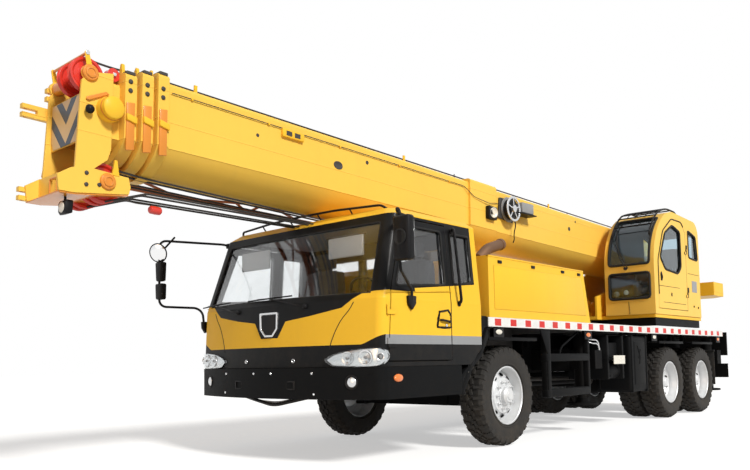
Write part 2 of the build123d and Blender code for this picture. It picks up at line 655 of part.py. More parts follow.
with BuildPart() as interior:
    for side_name, side in SIDES:
        block(800, 1280, side * 350, side * 880, CAB_FLOOR, 1330)
        block(800, 940, side * 350, side * 880, 1330, 1900)
        block(820, 920, side * 500, side * 730, 1900, 2080)
    block(1680, 1940, DASH_GAP - HALF_WIDTH, HALF_WIDTH - DASH_GAP, 1150, 1400)
    block(1700, 1760, DASH_GAP - HALF_WIDTH, HALF_WIDTH - DASH_GAP, CAB_FLOOR, 1150)
    block(800, 1700, -350, 350, CAB_FLOOR, 1150)
    rod((1690, 615, 1350), (1500, 615, 1480), 25)
    with BuildSketch(Plane(origin=(station(1500), 615, 1480), z_dir=(-190, 0, 130))):
        Circle(235)
        Circle(205, mode=Mode.SUBTRACT)
        Rectangle(430, 40)
    extrude(amount=25)
export(interior, "cab_interior")

with BuildPart() as bumper:
    with BuildSketch(level_plane(BUMPER_BOTTOM)):
        cab_plan(HALF_WIDTH, BUMPER_CORNER, BUMPER_MIDDLE, 110, BUMPER_REAR)
    extrude(amount=BUMPER_TOP - BUMPER_BOTTOM)
    with BuildSketch(level_plane(BUMPER_BOTTOM)):
        cab_plan(HALF_WIDTH - BUMPER_T, BUMPER_CORNER - BUMPER_T, BUMPER_MIDDLE - BUMPER_T, 80,
                 BUMPER_REAR - 50)
    extrude(amount=BUMPER_TOP - BUMPER_BOTTOM, mode=Mode.SUBTRACT)
    block(RAIL_FRONT + FIT, BUMPER_CORNER + 130, -700, 700, 640, 820)
    for side_name, side in SIDES:
        step_out = side * (HALF_WIDTH - STEP_OUT)
        step_in = side * (HALF_WIDTH - STEP_OUT - STEP_W)
        for step_z in (BUMPER_BOTTOM, 610.0):
            block(930, 1640, step_in, step_out, step_z, step_z + 12)
        block(930, 950, step_in, step_out, BUMPER_BOTTOM, 840)
        block(1640, 1660, step_in, step_out, BUMPER_BOTTOM, 840)
        block(930, 1660, step_in - side * 10, step_in + side * 10, BUMPER_BOTTOM, 840)
export(bumper, "front_bumper")

with BuildPart() as mirrors:
    for side_name, side in SIDES:
        block(1712, 1772, side * 1189.5, side * 1222, 2152, 2192)
        block(1945, 1985, side * 1250.5, side * 1264, 1400, 1440)
    rod((1742, 1206, 2172), (2040, 1420, 2120), 14)
    rod((2040, 1420, 2130), (2040, 1420, 1440), 14)
    rod((2040, 1420, 1450), (1966, 1262, 1420), 14)
    block(2000, 2090, 1380, 1580, 1740, 2090)
    rod((1742, -1206, 2172), (2440, -1480, 2190), 14)
    rod((2440, -1480, 2200), (2400, -1480, 1500), 14)
    rod((2400, -1480, 1510), (1966, -1262, 1420), 14)
    block(2360, 2450, -1580, -1380, 1640, 1980)
export(mirrors, "cab_mirrors")

# ---------------------------------------------------------------- engine, cover, rest
with BuildPart() as engine:
    block(*ENGINE)
    for side in (-1, 1):
        block(-1300, -1200, side * 330, side * (CHASSIS_HALF - RAIL_T - FIT), 800, 900)
        block(-600, -500, side * 330, side * (CHASSIS_HALF - RAIL_T - FIT), 800, 900)
export(engine, "engine_block")

with BuildPart() as cover:
    polygon_plate(COVER, HALF_WIDTH, 2 * HALF_WIDTH)
    inner = ((430 - COVER_T, 1300), (430 - COVER_T, 1940 - COVER_T),
             (-1640 + COVER_T, 1940 - COVER_T), (-1795 + COVER_T, 1300))
    polygon_plate(inner, HALF_WIDTH - COVER_T, 2 * (HALF_WIDTH - COVER_T), Mode.SUBTRACT)
    rod((330, 1080, 1930), (190, 1090, 2040), EXHAUST_R)
    with Locations((station(190), 1090, 2040)):
        Sphere(EXHAUST_R)
    rod((190, 1090, 2040), (-60, 1100, 2115), EXHAUST_R)
    rod((120, 1092, 2061), (-80, 1100, 2121), EXHAUST_R - 6, Mode.SUBTRACT)
export(cover, "engine_cover")

with BuildPart() as rest:
    for side in (-1, 1):
        block(REST_X - 32, REST_X + 32, side * 350, side * CHASSIS_HALF, RAIL_TOP, REST_TOP - 90)
    block(REST_X - REST_T / 2, REST_X + REST_T / 2, -450, 450, REST_TOP - 90, REST_TOP)
export(rest, "boom_rest")


# ---------------------------------------------------------------- boom frame
TILT = radians(BOOM_TILT)
ALONG = Vector(cos(TILT), 0, sin(TILT))
ACROSS = Vector(-sin(TILT), 0, cos(TILT))
FOOT = Vector(station(FOOT_X), 0, FOOT_Z)


def boom_point(s, h, y=0.0):
    return FOOT + ALONG * s + ACROSS * h + Vector(0, y, 0)


def section_plane(s):
    """Plane square to the boom: Y across, height up; it extrudes toward the head."""
    return Plane(origin=boom_point(s, 0), x_dir=(0, 1, 0), z_dir=ALONG)


def boom_side_plane(y=0.0):
    """Plane along the boom's side: station along, height up; it extrudes to the right."""
    return Plane(origin=boom_point(0, 0, y), x_dir=ALONG, z_dir=(0, -1, 0))


def boom_outline(inset):
    """Flat top, upright sides and a round belly, drawn in by the given amount."""
    half = BOOM_HALF - inset
    high = BOOM_TOP_H - inset
    turn = BOOM_TOP_H - BOOM_DEPTH + BOOM_ROUND
    low = BOOM_TOP_H - BOOM_DEPTH + inset
    with BuildLine() as outline:
        Line((-half, turn), (-half, high))
        Line((-half, high), (half, high))
        Line((half, high), (half, turn))
        ThreePointArc((half, turn), (0, low), (-half, turn))
    make_face(outline.edges())
    fillet(vertices().sort_by(Axis.Y)[-2:], 36)


def boom_ring(s0, s1, outer, inner):
    """A ring about the boom that leaves the tube inside it untouched."""
    with BuildSketch(section_plane(s0)) as profile:
        boom_outline(outer)
        with BuildSketch(mode=Mode.PRIVATE) as hollow:
            boom_outline(inner)
        add(hollow.sketch, mode=Mode.SUBTRACT)
    extrude(profile.sketch, amount=s1 - s0)


def boom_block(s0, s1, y0, y1, h0, h1, mode=Mode.ADD):
    with BuildSketch(boom_side_plane(max(y0, y1))) as profile:
        with Locations(((s0 + s1) / 2, (h0 + h1) / 2)):
            Rectangle(abs(s1 - s0), abs(h1 - h0))
    extrude(profile.sketch, amount=abs(y1 - y0), mode=mode)


def boom_rod(s, h, y0, y1, radius, mode=Mode.ADD):
    with BuildSketch(Plane(origin=boom_point(s, h, min(y0, y1)), z_dir=(0, 1, 0))) as profile:
        Circle(radius)
    extrude(profile.sketch, amount=abs(y1 - y0), mode=mode)


def boom_bar(start, end, radius, mode=Mode.ADD):
    """Round bar between two points given by boom station, Y and height."""
    a = boom_point(start[0], start[2], start[1])
    b = boom_point(end[0], end[2], end[1])
    with BuildSketch(Plane(origin=a, z_dir=b - a)) as profile:
        Circle(radius)
    extrude(profile.sketch, amount=(b - a).length, mode=mode)


def boom_polygon(points, y_left, thickness, mode=Mode.ADD):
    with BuildSketch(boom_side_plane(y_left)) as profile:
        with BuildLine() as outline:
            Polyline(*points, close=True)
        make_face(outline.edges())
    extrude(profile.sketch, amount=thickness, mode=mode)


def tube_inset(number):
    return (number - 1) * SECTION_STEP


belly = BOOM_TOP_H - BOOM_DEPTH
with BuildPart() as base:
    boom_ring(BOOM_REAR, BOOM_FRONT, 0, BOOM_WALL)
    boom_ring(BOOM_FRONT, BOOM_FRONT + COLLAR_L, -COLLAR_WALL, tube_inset(2) - FIT)
    boom_ring(CYL_LUG_S - 150, CYL_LUG_S + 420, -30, 0)
    for side in (-1, 1):
        lug_in = side * (EYE_HALF + LUG_GAP)
        lug_out = side * (EYE_HALF + LUG_GAP + LUG_T)
        boom_block(CYL_LUG_S - 150, CYL_LUG_S + 150, lug_in, lug_out, CYL_LUG_H, belly + 10)
        boom_rod(CYL_LUG_S, CYL_LUG_H, lug_in, lug_out, EYE_R)
        boom_rod(CYL_LUG_S, CYL_LUG_H, lug_in, lug_out, EYE_PIN_R, Mode.SUBTRACT)
        boom_block(-140, 140, side * BOOM_HALF, side * (BOOM_HALF + 40), -140, 140)
        boom_block(BOOM_FRONT + 70, BOOM_FRONT + 88, side * 230, side * 250, BOOM_TOP_H, BOOM_TOP_H + COLLAR_FIN)
    with BuildSketch(Plane(origin=(station(REST_X), 0, REST_TOP + FIT), z_dir=(0, 0, 1))):
        Rectangle(80, 220)
    extrude(amount=160)
    with BuildSketch(section_plane(BOOM_REAR - 50)) as bore:
        boom_outline(BOOM_WALL)
    extrude(bore.sketch, amount=BOOM_FRONT - BOOM_REAR, mode=Mode.SUBTRACT)
    boom_rod(0, 0, -CHEEK_Y - CHEEK_T + 5, CHEEK_Y + CHEEK_T - 5, FOOT_PIN_R)
export(base, "boom_base")

for number in (2, 3):
    outer = tube_inset(number)
    start = 100.0 * number
    end = BOOM_FRONT + COLLAR_L + COLLAR_PITCH * (number - 2) + 25
    with BuildPart() as section:
        boom_ring(start, end, outer, outer + BOOM_WALL)
        boom_ring(start, start + GUIDE_L, outer - SECTION_STEP + BOOM_WALL + FIT, outer + BOOM_WALL)
        boom_ring(end, end + COLLAR_L, outer - COLLAR_WALL - 8, outer + SECTION_STEP - FIT)
        for side in (-1, 1):
            boom_block(end + 70, end + 88, side * 210, side * 230, BOOM_TOP_H - outer, BOOM_TOP_H - outer + COLLAR_FIN)
    export(section, f"boom_section_{number}")

head_half = BOOM_HALF - tube_inset(4)
with BuildPart() as section:
    outer = tube_inset(4)
    start = 400.0
    boom_ring(start, TUBE_END, outer, outer + BOOM_WALL)
    boom_ring(start, start + GUIDE_L, outer - SECTION_STEP + BOOM_WALL + FIT, outer + BOOM_WALL)
    for side in (-1, 1):
        y_left = head_half + HEAD_T if side > 0 else -head_half
        boom_polygon(HEAD_SIDE, y_left, HEAD_T)
        boom_polygon(HEAD_BOX, y_left, HEAD_T)
        for s, h in (TOP_AXLE, LOW_AXLE):
            boom_rod(s, h, side * (head_half + HEAD_T), side * head_half, HEAD_BOSS_R)
    for s, low, high in (HEAD_FRONT, BOX_FRONT_PLATE):
        boom_block(s, s + HEAD_SHEET, -head_half, head_half, low, high)
    s, low, high = BOX_FRONT_PLATE
    middle = (low + high) / 2
    boom_block(s - HEAD_SHEET, s + 2 * HEAD_SHEET, -BOX_HOLE / 2, BOX_HOLE / 2, middle - BOX_HOLE / 2,
               middle + BOX_HOLE / 2, Mode.SUBTRACT)
    for s, h in (TOP_AXLE, LOW_AXLE):
        boom_rod(s, h, -head_half, head_half, HEAD_AXLE_R)
export(section, "boom_section_4")

with BuildPart() as forks:
    y0 = -head_half - HEAD_T - FIT
    y1 = -head_half - HEAD_T - FORK_W
    pin_y = (y0 + y1) / 2
    for low, root, slot_end, tip in FORKS:
        high = low + 2 * FORK_T + FORK_SLOT
        pin_s = tip - FORK_EDGE
        boom_block(root, slot_end, y0, y1, low, high)
        for prong in (low, high - FORK_T):
            boom_block(slot_end - HEAD_SHEET, tip, y0, y1, prong, prong + FORK_T)
        boom_bar((pin_s, pin_y, low - FIT), (pin_s, pin_y, high + FIT), FORK_PIN_R, Mode.SUBTRACT)
export(forks, "jib_forks")

with BuildPart() as sheaves:
    for (s, h), radius, places in ((TOP_AXLE, TOP_SHEAVE_R, TOP_SHEAVE_Y), (LOW_AXLE, LOW_SHEAVE_R, LOW_SHEAVE_Y)):
        for y in places:
            boom_rod(s, h, y - SHEAVE_W / 2, y + SHEAVE_W / 2, radius)
        boom_rod(s, h, -head_half + FIT, head_half - FIT, SHEAVE_HUB_R)
        boom_rod(s, h, -head_half, head_half, HEAD_AXLE_R + RUN, Mode.SUBTRACT)
export(sheaves, "head_sheaves")


# ---------------------------------------------------------------- turntable and counterweight
cheek_out = CHEEK_Y + CHEEK_T
CHEEK = ((-3750, 1460), (-3750, 1800), (-4600, 2000), (-5600, 2560), (-5950, 2640), (-6300, 2640),
         (-6550, 2300), (-6800, 2520), (-7080, 2520), (-7100, 2150), (-7100, 1962), (-6900, 1460))
WINCHES = (("main", -6480.0, 1800.0), ("auxiliary", -6875.0, 2380.0))
DRUM_R = 150.0
DRUM_FLANGE_R = 205.0
DRUM_HALF = 330.0
SHAFT_R = 40.0
floor_top = TURNTABLE_BOTTOM + TURNTABLE_T
with BuildPart() as turntable:
    block(-6850, -3750, -cheek_out, cheek_out, TURNTABLE_BOTTOM, floor_top)
    with BuildSketch(level_plane(TURNTABLE_BOTTOM)) as disc:
        with Locations((SLEW_X, 0)):
            Circle(PEDESTAL_R)
    extrude(disc.sketch, amount=TURNTABLE_T)
    block(-5800, -3900, cheek_out, HALF_WIDTH - 15, TURNTABLE_BOTTOM, floor_top)
    block(-5700, -4100, -cheek_out, 250 - HALF_WIDTH, TURNTABLE_BOTTOM, floor_top)
    for side in (-1, 1):
        polygon_plate(CHEEK, cheek_out if side > 0 else -CHEEK_Y, CHEEK_T)
        rod((FOOT_X, side * CHEEK_Y, FOOT_Z), (FOOT_X, side * (cheek_out + 25), FOOT_Z), 130)
        rod((FOOT_X, side * (CHEEK_Y - 5), FOOT_Z), (FOOT_X, side * (cheek_out + 60), FOOT_Z),
            FOOT_PIN_R + RUN, Mode.SUBTRACT)
        for name, winch_x, winch_z in WINCHES:
            rod((winch_x, side * (CHEEK_Y - 5), winch_z), (winch_x, side * (cheek_out + 60), winch_z),
                SHAFT_R + RUN, Mode.SUBTRACT)
        lug_in = side * (EYE_HALF + LUG_GAP)
        lug_out = side * (EYE_HALF + LUG_GAP + LUG_T)
        block(CYL_FOOT_X - 160, CYL_FOOT_X + 120, lug_in, lug_out, floor_top, CYL_FOOT_Z)
        rod((CYL_FOOT_X, lug_in, CYL_FOOT_Z), (CYL_FOOT_X, lug_out, CYL_FOOT_Z), EYE_R)
    rod((CYL_FOOT_X, -110, CYL_FOOT_Z), (CYL_FOOT_X, 110, CYL_FOOT_Z), EYE_PIN_R)
    block(-6050, -6010, -CHEEK_Y, CHEEK_Y, floor_top, 1900)
export(turntable, "turntable")

weight_end = WEIGHT_FRONT - WEIGHT_L
with BuildPart() as weight:
    with BuildSketch(level_plane(TAIL_BOTTOM)):
        with BuildLine():
            Polyline((WEIGHT_FRONT, -TAIL_HALF), (WEIGHT_FRONT, TAIL_HALF), (weight_end + WEIGHT_CHAMFER, TAIL_HALF),
                     (weight_end, WEIGHT_END_HALF), (weight_end, -WEIGHT_END_HALF),
                     (weight_end + WEIGHT_CHAMFER, -TAIL_HALF), close=True)
        make_face()
    extrude(amount=TAIL_TOP - TAIL_BOTTOM)
export(weight, "counterweight")

for name, winch_x, winch_z in WINCHES:
    with BuildPart() as drum:
        rod((winch_x, -DRUM_HALF, winch_z), (winch_x, DRUM_HALF, winch_z), DRUM_R)
        for side in (-1, 1):
            rod((winch_x, side * DRUM_HALF, winch_z), (winch_x, side * (DRUM_HALF + 30), winch_z), DRUM_FLANGE_R)
            rod((winch_x, side * (DRUM_HALF + 30), winch_z), (winch_x, side * (cheek_out - 2), winch_z), SHAFT_R)
    export(drum, f"winch_drum_{name}")

# ---------------------------------------------------------------- operator's cab
OP_LEFT = HALF_WIDTH
OP_HINGE_X = -5190.0
OP_HINGE_OUT = 12.0
OP_HINGE_Z = (1800.0, 2480.0)
OP_RIGHT = cheek_out + 80.0
OP_GLASS_EDGE = 65.0
OP_BACK_EDGE = 95.0
OP_GLASS_Y = (OP_RIGHT + OP_GLASS_EDGE, OP_LEFT - OP_GLASS_EDGE)
OP_BACK_Y = (OP_RIGHT + OP_BACK_EDGE, OP_LEFT - OP_BACK_EDGE)
OP_FRONT = -3880.0
OP_REAR = -5780.0
OP_BOTTOM = floor_top
OP_TOP = 3080.0
OP_WALL = 45.0
OP_DOOR = ((-5180, 1600), (-5180, 2820), (-5020, 2960), (-4620, 2960), (-4260, 2740), (-4040, 2300), (-4020, 1600))
OP_DOOR_WINDOW = ((-4950, 2260), (-4950, 2800), (-4640, 2870), (-4330, 2720), (-4120, 2350), (-4300, 2180), (-4820, 2150))
OP_REAR_SIDE = ((-5700, 2420), (-5640, 2800), (-5300, 2870), (-5300, 2440))
OP_WINDSHIELD = ((OP_GLASS_Y[0], 2240), (OP_GLASS_Y[0], 2960), (OP_GLASS_Y[1], 2960), (OP_GLASS_Y[1], 2240))
OP_LOWER = ((OP_GLASS_Y[0], 1740), (OP_GLASS_Y[0], 2120), (OP_GLASS_Y[1], 2120), (OP_GLASS_Y[1], 1740))
OP_BACK = ((OP_BACK_Y[0], 2250), (OP_BACK_Y[0], 2850), (OP_BACK_Y[1], 2850), (OP_BACK_Y[1], 2250))
OP_ARM_EDGE = 57.5
OP_ARM_W = 70.0
OP_ARM_GAP = 10.0


def operator_volume(inset):
    """The operator's cab: upright in front, its brow and its rear edge rounded in side view."""
    with BuildPart() as volume:
        with BuildSketch(side_plane(OP_LEFT - inset)):
            with BuildLine():
                Line((OP_REAR, OP_BOTTOM), (OP_REAR, 2820))
                ThreePointArc((OP_REAR, 2820), (-5715, 2975), (-5540, 3045))
                Line((-5540, 3045), (-4700, OP_TOP))
                ThreePointArc((-4700, OP_TOP), (-4110, 2810), (OP_FRONT, 2240))
                Line((OP_FRONT, 2240), (OP_FRONT, OP_BOTTOM))
                Line((OP_FRONT, OP_BOTTOM), (OP_REAR, OP_BOTTOM))
            make_face()
            if inset:
                offset(amount=-inset, kind=Kind.INTERSECTION)
        extrude(amount=OP_LEFT - OP_RIGHT - 2 * inset)
    return volume.part


op_outer = operator_volume(0)
op_inner = operator_volume(OP_WALL)
op_glass_out = operator_volume(14)
op_glass_in = operator_volume(20)
with BuildPart() as op_cab:
    add(op_outer)
    add(op_inner, mode=Mode.SUBTRACT)
    add(front_prism(OP_WINDSHIELD, -4620, 1000), mode=Mode.SUBTRACT)
    add(front_prism(OP_LOWER, -4200, 600), mode=Mode.SUBTRACT)
    add(front_prism(OP_BACK, OP_REAR - 50, 200), mode=Mode.SUBTRACT)
    add(prism(OP_REAR_SIDE, OP_LEFT + 50, 200), mode=Mode.SUBTRACT)
    add(prism(OP_REAR_SIDE, OP_RIGHT + 100, 200), mode=Mode.SUBTRACT)
    add(prism(OP_DOOR, OP_LEFT + 50, 200, 8), mode=Mode.SUBTRACT)
    for z0 in OP_HINGE_Z:
        low, high = z0 + KNUCKLE_L + FIT, z0 + 2 * KNUCKLE_L
        rod((OP_HINGE_X, OP_LEFT + OP_HINGE_OUT, low), (OP_HINGE_X, OP_LEFT + OP_HINGE_OUT, high), HINGE_R)
        block(OP_HINGE_X - 50, OP_HINGE_X, OP_LEFT - 5, OP_LEFT + OP_HINGE_OUT, low, high)
export(op_cab, "operator_cab")

with BuildPart() as op_panes:
    add(op_glass_out)
    add(op_glass_in, mode=Mode.SUBTRACT)
    with BuildPart(mode=Mode.PRIVATE) as keep:
        add(front_prism(OP_WINDSHIELD, -4620, 1000, -FIT))
        add(front_prism(OP_LOWER, -4200, 600, -FIT))
        add(front_prism(OP_BACK, OP_REAR - 50, 200, -FIT))
        add(prism(OP_REAR_SIDE, OP_LEFT + 50, 200, -FIT))
        add(prism(OP_REAR_SIDE, OP_RIGHT + 100, 200, -FIT))
    add(keep.part, mode=Mode.INTERSECT)
export(op_panes, "operator_cab_windows")

with BuildPart() as op_door:
    add(op_outer)
    add(op_inner, mode=Mode.SUBTRACT)
    add(prism(OP_DOOR, OP_LEFT + 50, 200), mode=Mode.INTERSECT)
    add(prism(OP_DOOR_WINDOW, OP_LEFT + 50, 200), mode=Mode.SUBTRACT)
    for z0 in OP_HINGE_Z:
        rod((OP_HINGE_X, OP_LEFT + OP_HINGE_OUT, z0), (OP_HINGE_X, OP_LEFT + OP_HINGE_OUT, z0 + KNUCKLE_L), HINGE_R)
        block(OP_HINGE_X, OP_HINGE_X + 60, OP_LEFT + 0.5, OP_LEFT + OP_HINGE_OUT, z0, z0 + KNUCKLE_L)
        block(OP_HINGE_X + 15, OP_HINGE_X + 60, OP_LEFT - 5, OP_LEFT + OP_HINGE_OUT, z0, z0 + KNUCKLE_L)
export(op_door, "operator_door")
with BuildPart() as op_pane:
    add(op_glass_out)
    add(op_glass_in, mode=Mode.SUBTRACT)
    add(prism(OP_DOOR_WINDOW, OP_LEFT + 50, 200, -FIT), mode=Mode.INTERSECT)
export(op_pane, "operator_door_window")

with BuildPart() as op_seat:
    seat_y = (OP_RIGHT + OP_ARM_EDGE + OP_ARM_W + OP_ARM_GAP, OP_LEFT - OP_ARM_EDGE - OP_ARM_W - OP_ARM_GAP)
    block(-5340 + FIT, -4850, seat_y[0], seat_y[1], OP_BOTTOM + OP_WALL, 2000)
    block(-5480, -5340, seat_y[0], seat_y[1], OP_BOTTOM + OP_WALL, 2620)
    for y0 in (OP_RIGHT + OP_ARM_EDGE, OP_LEFT - OP_ARM_EDGE - OP_ARM_W):
        block(-5300, -4750, y0, y0 + OP_ARM_W, OP_BOTTOM + OP_WALL, 2120)
export(op_seat, "operator_seat")

# ---------------------------------------------------------------- luffing cylinder
lug_point = boom_point(CYL_LUG_S, CYL_LUG_H)
foot_point = Vector(station(CYL_FOOT_X), 0, CYL_FOOT_Z)
reach = lug_point - foot_point
REST_LENGTH = reach.length
TOWARD = reach.normalized()


def cylinder_bar(t0, t1, radius, mode=Mode.ADD):
    with BuildSketch(Plane(origin=foot_point + TOWARD * t0, z_dir=TOWARD)) as profile:
        Circle(radius)
    extrude(profile.sketch, amount=t1 - t0, mode=mode)


def cross_bar(centre, half, radius, mode=Mode.ADD):
    with BuildSketch(Plane(origin=centre - Vector(0, half, 0), z_dir=(0, 1, 0))) as profile:
        Circle(radius)
    extrude(profile.sketch, amount=2 * half, mode=mode)


with BuildPart() as barrel:
    cylinder_bar(EYE_PIN_R, BARREL_L, BARREL_R)
    cross_bar(foot_point, EYE_HALF + LUG_GAP + LUG_T + 30, EYE_R + 60, Mode.SUBTRACT)
    cross_bar(foot_point, EYE_HALF, EYE_R)
    cylinder_bar(EYE_PIN_R + 20, EYE_R + 90, EYE_HALF)
    cross_bar(foot_point, EYE_HALF + 5, EYE_PIN_R + RUN, Mode.SUBTRACT)
    cylinder_bar(BARREL_BORE_FROM, BARREL_L + 10, ROD_R + RUN, Mode.SUBTRACT)
    cylinder_bar(BARREL_L - 120, BARREL_L, BARREL_R + 15)
    cylinder_bar(BARREL_BORE_FROM, BARREL_L + 10, ROD_R + RUN, Mode.SUBTRACT)
export(barrel, "luff_barrel")

with BuildPart() as luff_rod:
    cylinder_bar(ROD_FROM, REST_LENGTH - ROD_NECK, ROD_R)
    cylinder_bar(REST_LENGTH - ROD_NECK, REST_LENGTH - 20, EYE_HALF)
    cross_bar(lug_point, EYE_HALF, EYE_R)
export(luff_rod, "luff_rod")

# ---------------------------------------------------------------- jib and hook
JIB = (2350.0, 9500.0)
JIB_Y = (-480.0, -820.0)
JIB_H = (-90.0, 290.0)
JIB_BAYS = 9
CHORD_R = 26.0
LACE_R = 13.0


bay = (JIB[1] - JIB[0]) / JIB_BAYS
with BuildPart() as jib:
    for y in JIB_Y:
        for h in JIB_H:
            boom_bar((JIB[0], y, h), (JIB[1], y, h), CHORD_R)
    for k in range(JIB_BAYS + 1):
        if k in (0, JIB_BAYS):
            inward = 40 if k == 0 else -40
            s0 = JIB[0] + k * bay + inward
            for h in JIB_H:
                boom_bar((s0, JIB_Y[0], h), (s0, JIB_Y[1], h), LACE_R)
            for y in JIB_Y:
                boom_bar((s0 + inward, y, JIB_H[0]), (s0 + inward, y, JIB_H[1]), LACE_R)
    for k in range(JIB_BAYS):
        s0 = JIB[0] + k * bay
        low, high = (JIB_H if k % 2 else JIB_H[::-1])
        near, far = (JIB_Y if k % 2 else JIB_Y[::-1])
        for y in JIB_Y:
            boom_bar((s0 + 30, y, low), (s0 + bay - 30, y, high), LACE_R)
        for h in JIB_H:
            boom_bar((s0 + 60, near, h), (s0 + bay - 60, far, h), LACE_R)
    for s0 in (3000.0, 8600.0):
        boom_block(s0, s0 + 80, -BOOM_HALF - FIT, JIB_Y[0], 60, 120)
        boom_block(s0, s0 + 80, JIB_Y[0] + 10, JIB_Y[0] - 10, JIB_H[0], JIB_H[1])
export(jib, "jib_lattice")

HOOK = (5580.0, 6040.0)
with BuildPart() as hook:
    for side in (-1, 1):
        boom_block(HOOK[0], HOOK[1], side * 150, side * 175, -520, -320)
    for y in (-95, 0, 95):
        boom_rod(5880, -420, y - 22, y + 22, 100)
    boom_rod(5880, -420, -150, 150, 30)
    boom_block(HOOK[0] - 10, HOOK[0] + 90, -150, 150, -470, -370)
    boom_block(5700, 5740, -150, 150, -340, -320)
    boom_block(5700, 5740, -60, 60, -330, belly - FIT)
export(hook, "hook_block")
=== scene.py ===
import math
import bpy
from mathutils import Matrix, Vector


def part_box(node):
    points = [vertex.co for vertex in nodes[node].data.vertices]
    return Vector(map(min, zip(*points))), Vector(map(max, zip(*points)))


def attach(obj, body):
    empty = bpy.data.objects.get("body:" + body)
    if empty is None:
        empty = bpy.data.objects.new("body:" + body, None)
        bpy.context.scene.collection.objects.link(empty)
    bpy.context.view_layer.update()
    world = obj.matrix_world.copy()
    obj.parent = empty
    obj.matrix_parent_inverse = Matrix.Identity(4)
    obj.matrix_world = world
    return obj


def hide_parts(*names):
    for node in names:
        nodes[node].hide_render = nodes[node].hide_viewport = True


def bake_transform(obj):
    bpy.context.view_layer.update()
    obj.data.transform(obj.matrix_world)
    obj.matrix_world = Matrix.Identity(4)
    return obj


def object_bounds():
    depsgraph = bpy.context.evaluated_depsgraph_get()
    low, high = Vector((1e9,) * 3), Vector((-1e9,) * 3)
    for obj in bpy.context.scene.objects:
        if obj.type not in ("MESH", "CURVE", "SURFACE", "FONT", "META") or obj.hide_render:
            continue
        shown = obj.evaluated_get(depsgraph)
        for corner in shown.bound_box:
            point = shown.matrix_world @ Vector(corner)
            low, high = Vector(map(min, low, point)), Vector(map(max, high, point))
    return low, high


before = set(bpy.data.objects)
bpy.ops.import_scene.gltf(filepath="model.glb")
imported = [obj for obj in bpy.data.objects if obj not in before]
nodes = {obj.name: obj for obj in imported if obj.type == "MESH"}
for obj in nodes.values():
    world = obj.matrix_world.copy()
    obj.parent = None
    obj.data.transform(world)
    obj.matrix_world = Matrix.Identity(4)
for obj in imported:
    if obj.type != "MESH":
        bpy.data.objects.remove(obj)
cadLow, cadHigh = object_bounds()


# where things stand: along X everything is given from the front axle, as the carrier's drawing does
tyreLow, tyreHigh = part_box("tyre_front_left")
axleX = (tyreLow.x + tyreHigh.x) / 2
axleZ = (tyreLow.z + tyreHigh.z) / 2
boomFoot = Vector((axleX - 6.1, 0, 2.42))
boomTilt = math.radians(1.2)
boomAlong = Vector((math.cos(boomTilt), 0, math.sin(boomTilt)))
boomUp = Vector((-math.sin(boomTilt), 0, math.cos(boomTilt)))


def along(x):
    return axleX + x


def at(x, y, z):
    return Vector((along(x), y, z))


def laid(points):
    return [at(*point) for point in points]


def onBoom(s, h, y=0.0):
    return boomFoot + boomAlong * s + boomUp * h + Vector((0, y, 0))


def onBoomEnd(y, h, s):
    return onBoom(s, h, y)


bothSides = ((-1, "R"), (1, "L"))


# camera first
view = {
    "spot": (along(6.765), 5.353, 0.891),
    "turn": (94.0, 0.0, 131.705),
    "roll": -0.985,
    "lens": 36.06,
    "shift": (0.0019, 0.0991),
}
cameraData = bpy.data.cameras.new("camera")
cameraData.lens = view["lens"]
cameraData.sensor_width = 36
cameraData.shift_x, cameraData.shift_y = view["shift"]
cameraData.clip_end = 200
camera = bpy.data.objects.new("camera", cameraData)
bpy.context.scene.collection.objects.link(camera)
turn = Matrix.LocRotScale(None, None, None)
for angle, axis in zip(view["turn"], "XYZ"):
    turn = Matrix.Rotation(math.radians(angle), 4, axis) @ turn
turn = turn @ Matrix.Rotation(math.radians(view["roll"]), 4, "Z")
camera.matrix_world = Matrix.Translation(view["spot"]) @ turn
bpy.context.scene.camera = camera
print("camera in place")


# studio: a soft sun from the left, a weak warm one from the front and an even sky
studio = {
    "key": {"from": (0.17, 0.82, 0.6), "strength": 3.3, "angle": 12, "tint": (1.0, 0.985, 0.95)},
    "front": {"from": (0.95, 0.1, 0.25), "strength": 0.42, "angle": 30, "tint": (1.0, 0.66, 0.38)},
    "sky": 0.22,
    "floorSize": 140.0,
    "floorGrey": (0.72, 0.72, 0.72),
    "floorGlow": 0.5,
    "white": (1, 1, 1, 1),
}
bpy.context.scene.view_settings.view_transform = "Standard"


def addSun(name, setup):
    lampData = bpy.data.lights.new(name, "SUN")
    lampData.energy = setup["strength"]
    lampData.angle = math.radians(setup["angle"])
    lampData.color = setup["tint"]
    lamp = bpy.data.objects.new(name, lampData)
    lamp.rotation_euler = Vector(setup["from"]).to_track_quat("Z", "Y").to_euler()
    bpy.context.scene.collection.objects.link(lamp)


addSun("keySun", studio["key"])
addSun("frontSun", studio["front"])


# an input is given a plain value, or another node's socket to read
def setInputs(tree, node, inputs):
    for label, value in inputs.items():
        if isinstance(value, bpy.types.NodeSocket):
            tree.links.new(value, node.inputs[label])
        elif isinstance(value, tuple) and node.inputs[label].type == "RGBA":
            node.inputs[label].default_value = (*value[:3], 1)
        elif value is not None:
            node.inputs[label].default_value = value
    return node


def addNode(tree, kind, inputs=(), **settings):
    node = tree.nodes.new("ShaderNode" + kind)
    for label, value in settings.items():
        setattr(node, label, value)
    return setInputs(tree, node, dict(inputs))


def addMath(tree, operation, first, second=None, clamp=False):
    return addNode(tree, "Math", {0: first, 1: second}, operation=operation, use_clamp=clamp).outputs[0]


def plus(tree, first, second, clamp=False):
    return addMath(tree, "ADD", first, second, clamp)


def minus(tree, first, second, clamp=False):
    return addMath(tree, "SUBTRACT", first, second, clamp)


def times(tree, first, second, clamp=False):
    return addMath(tree, "MULTIPLY", first, second, clamp)


def parted(tree, first, second):
    return addMath(tree, "DIVIDE", first, second)


